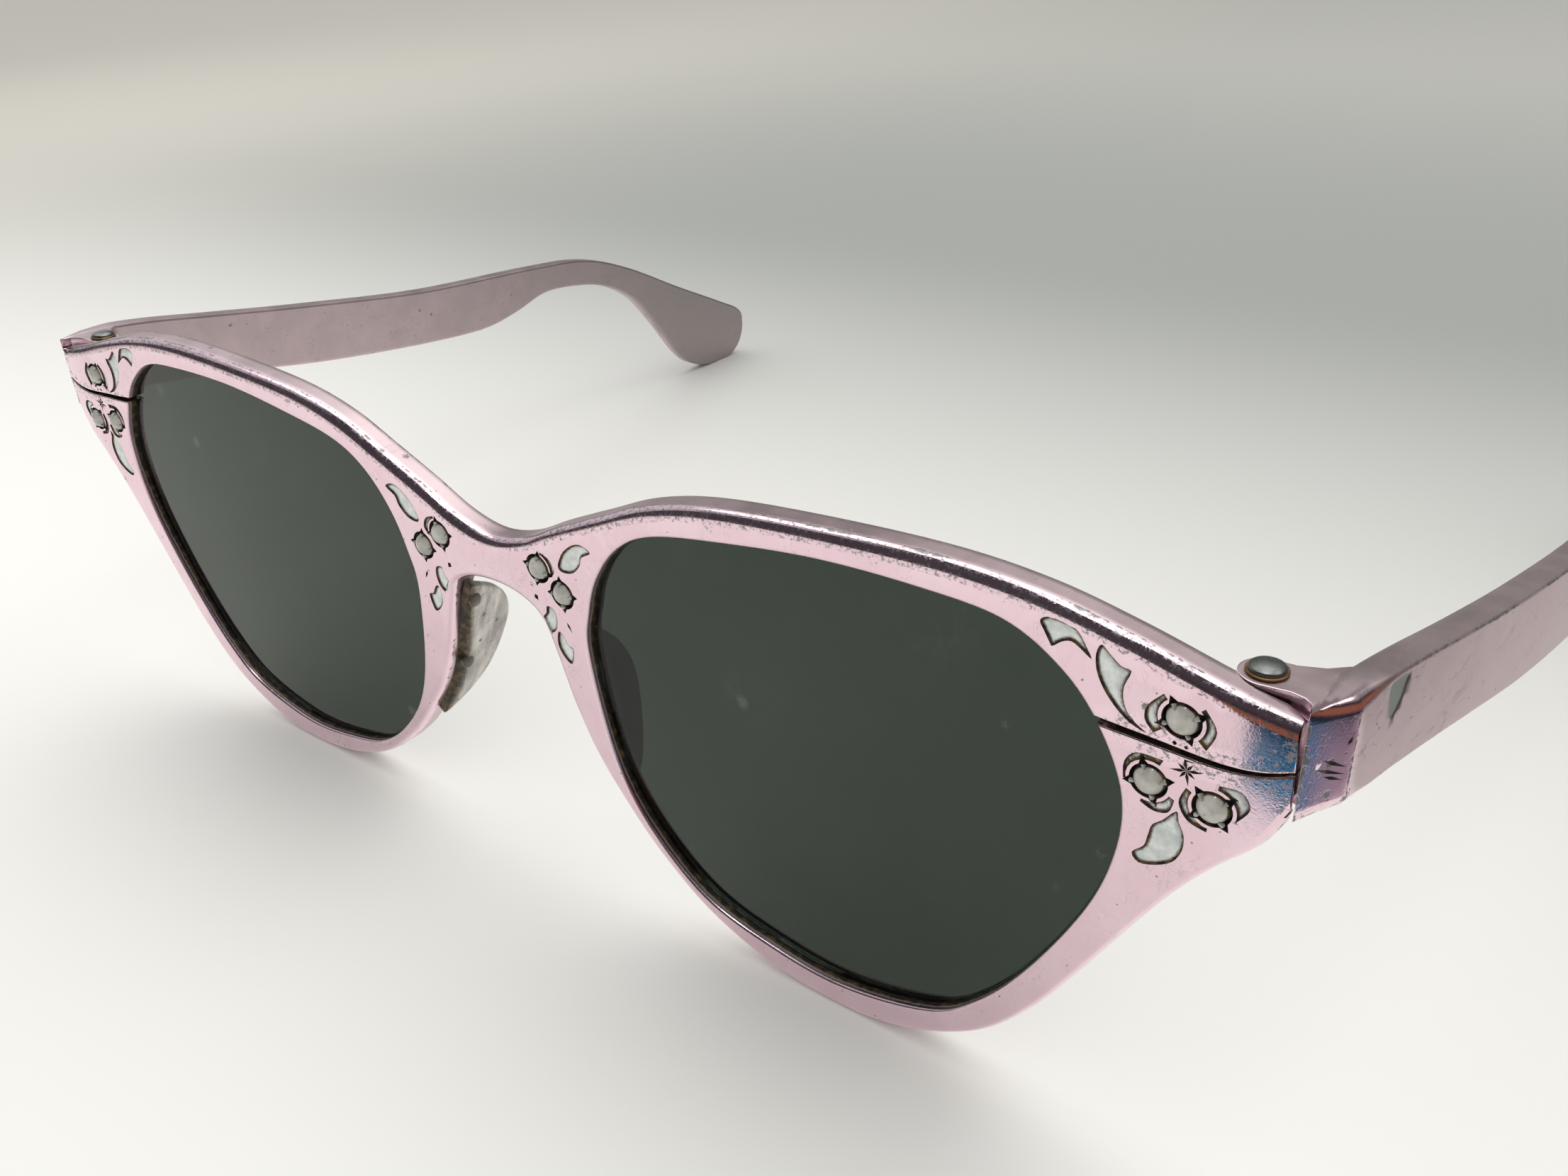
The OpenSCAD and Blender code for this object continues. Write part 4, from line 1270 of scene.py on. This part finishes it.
def claw_tree():
    """Geometry nodes: a small claw on each point, leaning over the pearl."""
    tree = bpy.data.node_groups.new("claws", "GeometryNodeTree")
    face = tree.interface
    face.new_socket("Geometry", in_out="INPUT", socket_type="NodeSocketGeometry")
    for key, default in (("Length", 0.00055), ("Width", 0.00017), ("Lean", 0.45), ("Uneven", 0.25)):
        face.new_socket(key, in_out="INPUT", socket_type="NodeSocketFloat").default_value = default
    face.new_socket("Seed", in_out="INPUT", socket_type="NodeSocketInt").default_value = 7
    face.new_socket("Geometry", in_out="OUTPUT", socket_type="NodeSocketGeometry")
    i = tree.nodes.new("NodeGroupInput").outputs
    claw = node(tree, "GeometryNodeMeshCone", {
        "Vertices": 10, "Side Segments": 3, "Radius Top": 0.00005, "Radius Bottom": i["Width"],
        "Depth": i["Length"]})
    way = node(tree, "GeometryNodeInputNamedAttribute", {"Name": "way"}, data_type="FLOAT_VECTOR")
    aim = node(tree, "ShaderNodeVectorMath", {
        0: way.outputs["Attribute"], 1: (-1.0, -1.0, -1.0), 2: (0.0, -0.75, 0.0)},
        operation="MULTIPLY_ADD")
    turn = node(tree, "FunctionNodeAlignRotationToVector", {"Vector": aim.outputs[0]}, axis="Z")
    size = node(tree, "FunctionNodeRandomValue", {"Seed": i["Seed"]}, data_type="FLOAT")
    tree.links.new(math_node(tree, "SUBTRACT", 1.0, i["Uneven"]), size.inputs[2])
    size.inputs[3].default_value = 1.0
    many = node(tree, "GeometryNodeInstanceOnPoints", {
        "Points": i["Geometry"], "Instance": claw.outputs["Mesh"], "Rotation": turn.outputs[0],
        "Scale": size.outputs[1]})
    real = node(tree, "GeometryNodeRealizeInstances", {"Geometry": many.outputs[0]})
    finish = node(tree, "GeometryNodeSetMaterial", {"Geometry": real.outputs[0], "Material": CUT})
    out = tree.nodes.new("NodeGroupOutput")
    tree.links.new(finish.outputs[0], out.inputs[0])
    return tree


def grown(name, places, ways, tree, values):
    """Runs a geometry tree on points that carry a direction, and keeps the plain mesh it makes."""
    mesh = bpy.data.meshes.new(name)
    mesh.from_pydata([tuple(p) for p in places], [], [])
    layer = mesh.attributes.new("way", "FLOAT_VECTOR", "POINT")
    layer.data.foreach_set("vector", np.array(ways, np.float32).ravel())
    obj = bpy.data.objects.new(name, mesh)
    modifier = obj.modifiers.new("grown", "NODES")
    modifier.node_group = tree
    for item in tree.interface.items_tree:
        if item.in_out == "INPUT" and item.name in values:
            modifier[item.identifier] = values[item.name]
    bpy.context.scene.collection.objects.link(obj)
    bpy.context.view_layer.update()
    made = bpy.data.meshes.new_from_object(obj.evaluated_get(bpy.context.evaluated_depsgraph_get()))
    obj.modifiers.clear()
    obj.data = made
    bpy.data.meshes.remove(mesh)
    return obj


def make_claws():
    places, ways = claw_points()
    sizes = {"Length": CLAW_LENGTH * MM, "Width": CLAW_WIDTH * MM}
    claws = grown("pearl_claws", places, ways, claw_tree(), sizes)
    smooth(claws.data, 40)
    set_mask(claws, "soil", 0.42)
    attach(claws, frame["nodes"]["front_frame"]["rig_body"])


def make_hinge(side, who):
    """The barrel with its domed head, the slotted screw from below, and the two rings."""
    at = (PIN_X * side, PIN_Y, 0)
    top = EAR_TOP + WASHER_T
    barrel = dome(HEAD_R, top + HEAD_RIM, HEAD_DOME, 9) + [
        (HEAD_R, top + 0.03), (HEAD_R - 0.03, top), (BARREL_R, top), (BARREL_R, EAR_LOW + 0.15),
        (BARREL_R - 0.05, EAR_LOW + 0.1), (THREAD_R + 0.01, EAR_LOW + 0.1),
        (THREAD_R, EAR_LOW + BORE_DEEP), (0, EAR_LOW + BORE_DEEP)]
    piece = lathe(who + "_barrel_head", barrel, at, (0, 0, 1), [STEEL], 48)
    co = vertex_places(piece)
    set_mask(piece, "soil", np.clip(1 - (co[:, 2] - top - 0.05) * 9, 0, 1) * 0.6)
    fit(piece, [who + "_hinge_barrel"])
    foot = EAR_LOW - WASHER_T
    low = foot - SCREW_HEAD_T
    screw = [
        (0, EAR_LOW + 4), (THREAD_R - 0.01, EAR_LOW + 3.9), (THREAD_R, foot), (SCREW_HEAD_R - 0.05, foot),
        (SCREW_HEAD_R, foot - 0.06), (SCREW_HEAD_R, low + 0.12), (SCREW_HEAD_R - 0.1, low), (0, low)]
    piece = lathe(who + "_slotted_screw", screw, at, (0, 0, 1), [STEEL], 40)
    joined(piece, slot_cutter((at[0], PIN_Y, low)), "DIFFERENCE")
    set_mask(piece, "soil", 0.2)
    fit(piece, [who + "_hinge_screw"])
    for name, z, r in (("upper", EAR_TOP, UPPER_RING_R), ("lower", foot, LOWER_RING_R)):
        ring = [(BARREL_R, z + 0.02), (r - 0.05, z), (r, z + 0.04), (r, z + WASHER_T - 0.04),
                (r - 0.05, z + WASHER_T), (BARREL_R, z + WASHER_T - 0.02)]
        piece = lathe(who + "_" + name + "_ring", ring, at, (0, 0, 1), [BRASS], 48)
        set_mask(piece, "soil", 0.35)
        fit(piece, [who + "_" + name + "_washer"])


def slot_cutter(at):
    """The block that cuts a screw's slot."""
    mesh = bpy.data.meshes.new("slot")
    bm = bmesh.new()
    bmesh.ops.create_cube(bm, size=MM, matrix=Matrix.Translation(placed([at])[0])
                          @ Matrix.Diagonal((4, SLOT_WIDE, 0.5, 1)))
    bm.to_mesh(mesh)
    bm.free()
    cutter = bpy.data.objects.new("slot", mesh)
    bpy.context.scene.collection.objects.link(cutter)
    return cutter


def make_rivets(side, who):
    """The two rivets of a nose pad, as one piece."""
    rim = sorted((p[1], p[0]) for p in UNDER if 3 < p[0] < 13)
    heads = []
    for z in RIVET_Z:
        foot = np.interp(z, *zip(*rim)) - 1.25
        profile = [(0, 0), (0.4, 0.02), (0.62, 0.14), (0.7, 0.32), (0.66, 0.36), (0.45, 0.37),
                   (0.45, 2.2), (0, 2.3)]
        heads.append(lathe("rivet", profile, (foot * side, 1.95, z), (side, 0, 0), [STEEL], 28))
    pair, other = heads
    bm = bmesh.new()
    bm.from_mesh(pair.data)
    bm.from_mesh(other.data)
    bm.to_mesh(pair.data)
    bm.free()
    bpy.data.objects.remove(other)
    pair.name = pair.data.name = who + "_rivet_pair"
    smooth(pair.data, 35)
    set_mask(pair, "soil", 0.4)
    fit(pair, [who + "_pad_rivets"])


make_front()
for side, who in ((1, "left"), (-1, "right")):
    make_temple(side, who)
    make_lens(side, who)
    make_pad(side, who)
    make_rivets(side, who)
    make_hinge(side, who)
    for number, (name, middle) in enumerate(PEARLS.items()):
        make_pearl(name, middle, side, who, number)
make_claws()


# ------------------------------------------------------------------ camera, floor and light

def make_camera():
    data = bpy.data.cameras.new("camera")
    data.lens, data.sensor_width = 30.92, 36
    data.clip_start = 0.005
    camera = bpy.data.objects.new("camera", data)
    camera.location = (0.08154, FACE_Y - 0.06406, 0.08127)
    camera.rotation_euler = [math.radians(a) for a in (61.640, 2.593, 36.760)]
    bpy.context.scene.collection.objects.link(camera)
    bpy.context.scene.camera = camera
    bpy.context.scene.view_settings.view_transform = "Standard"


def make_floor():
    """A pale round floor with painted shade that darkens it away from the camera, and painted light that
    gives its left a warm tint.
    """
    mesh = bpy.data.meshes.new("floor")
    bm = bmesh.new()
    bmesh.ops.create_circle(bm, cap_ends=True, radius=3, segments=96)
    bm.to_mesh(mesh)
    bm.free()
    floor = bpy.data.objects.new("floor", mesh)
    bpy.context.scene.collection.objects.link(floor)
    m, t, s, at = new_material("pale floor", Roughness=0.55, IOR=1.4)
    cloud = noise(t, at, 9.0, 3)
    place = node(t, "ShaderNodeSeparateXYZ", {0: at}).outputs
    pale = mix_colour(t, cloud, (0.86, 0.85, 0.82), (0.9, 0.89, 0.865))
    # painted shade: darker away from the camera; painted light: warmer and lighter to the far left
    shade = mix_colour(t, step_node(t, place["Y"], -0.06, 0.15), pale, (0.335, 0.345, 0.332))
    shade = mix_colour(t, step_node(t, place["Y"], 0.16, 0.5), shade, (0.46, 0.46, 0.43))
    shade = mix_colour(t, step_node(t, place["X"], -0.12, -0.5), shade, (0.56, 0.54, 0.49))
    t.links.new(shade, s.inputs["Base Color"])
    mesh.materials.append(m)


def make_card(name, near, far, foot, bands):
    """An upright card beside the camera that only shows in polished metal: bands of colour by
    height, between two places (x, y) on the floor."""
    corners = [(*near, foot), (*far, foot), (*far, CARD_TOP), (*near, CARD_TOP)]
    mesh = bpy.data.meshes.new(name)
    mesh.from_pydata([tuple(p) for p in placed(corners)], [], [(0, 1, 2, 3)])
    card = bpy.data.objects.new(name, mesh)
    bpy.context.scene.collection.objects.link(card)
    m, t, s, at = new_material(name, Roughness=1.0, Emission_Strength=1, Specular_IOR_Level=0)
    height = node(t, "ShaderNodeSeparateXYZ", {0: at}).outputs["Z"]
    colour = mix_colour(t, 0.0, bands[0][1], bands[0][1])
    for (low, _), (high, next_colour) in zip(bands, bands[1:]):
        colour = mix_colour(t, step_node(t, height, low * MM, high * MM), colour, next_colour)
    s.inputs["Base Color"].default_value = (0, 0, 0, 1)
    t.links.new(colour, s.inputs["Emission Color"])
    mesh.materials.append(m)
    card.visible_camera = card.visible_diffuse = card.visible_transmission = False
    card.visible_shadow = False


def make_light(name, place, target, size, power, colour, shown, lights=True):
    """A soft light: shown says that it shows in polished metal, lights that it lights the rest."""
    data = bpy.data.lights.new(name, "AREA")
    data.shape = "RECTANGLE"
    data.size, data.size_y = size
    data.energy = power
    data.color = colour
    light = bpy.data.objects.new(name, data)
    light.location = placed([place])[0]
    way = Vector(placed([target])[0]) - Vector(light.location)
    light.rotation_euler = way.to_track_quat("-Z", "Y").to_euler()
    light.visible_glossy = shown
    light.visible_diffuse = lights
    bpy.context.scene.collection.objects.link(light)


def make_world():
    """Polished metal sees a dark side behind the camera, a bright ceiling and a dim far side;
    everything else is lit evenly."""
    world = bpy.data.worlds.new("studio")
    bpy.context.scene.world = world
    world.use_nodes = True
    t = world.node_tree
    t.nodes.clear()
    way = node(t, "ShaderNodeTexCoord").outputs["Generated"]
    parts = node(t, "ShaderNodeSeparateXYZ", {0: way}).outputs
    behind = step_node(t, parts["Y"], -0.12, -0.02)
    ceiling = step_node(t, parts["Z"], 0.6, 0.72)
    room = mix_colour(t, ceiling, (0.2, 0.2, 0.195), (1.9, 1.9, 1.86))
    room = mix_colour(t, behind, (0.06, 0.055, 0.062), room)
    path = node(t, "ShaderNodeLightPath").outputs
    room = mix_colour(t, path["Is Diffuse Ray"], room, (0.86, 0.86, 0.84))
    room = mix_colour(t, path["Is Camera Ray"], room, (0.6, 0.61, 0.59))
    sky = node(t, "ShaderNodeBackground", {"Color": room, "Strength": 0.95})
    t.links.new(sky.outputs[0], node(t, "ShaderNodeOutputWorld").inputs["Surface"])


make_camera()
make_floor()
BLUE, NAVY, RUST, DARK = (0.02, 0.17, 0.3), (0.01, 0.02, 0.035), (0.24, 0.105, 0.06), (0.04, 0.036, 0.04)
PINKISH, MAUVE = (0.4, 0.34, 0.38), (0.3, 0.24, 0.28)
CARD_TOP = 60
SIDE_BANDS = [(17, NAVY), (20, NAVY), (28, RUST), (40, RUST), (52, DARK)]
make_card("front card", (56, -46), (120, -30), 1,
          [(0, BLUE), (6.5, BLUE), (8.5, NAVY), (12, NAVY), (20, RUST), (34, RUST), (50, DARK)])
make_card("side card", (105, -20), (105, 9.4), 2, [(0, BLUE), (13, BLUE)] + SIDE_BANDS)
make_card("rear side card", (105, 9.4), (105, 60), 2, [(0, PINKISH), (10, MAUVE)] + SIDE_BANDS)
make_light("softbox above", (-120, 300, 640), (0, -40, 0), (1.0, 0.6), 1.6, (1.0, 0.99, 0.97), False)
make_light("softbox left", (-520, 60, 380), (0, 40, 10), (0.6, 0.6), 0.5, (0.97, 0.99, 1.0), True)
make_light("lamp above", (20, -90, 700), (40, 0, 30), (0.12, 0.12), 0.6, (1.0, 1.0, 1.0), True, False)
make_world()
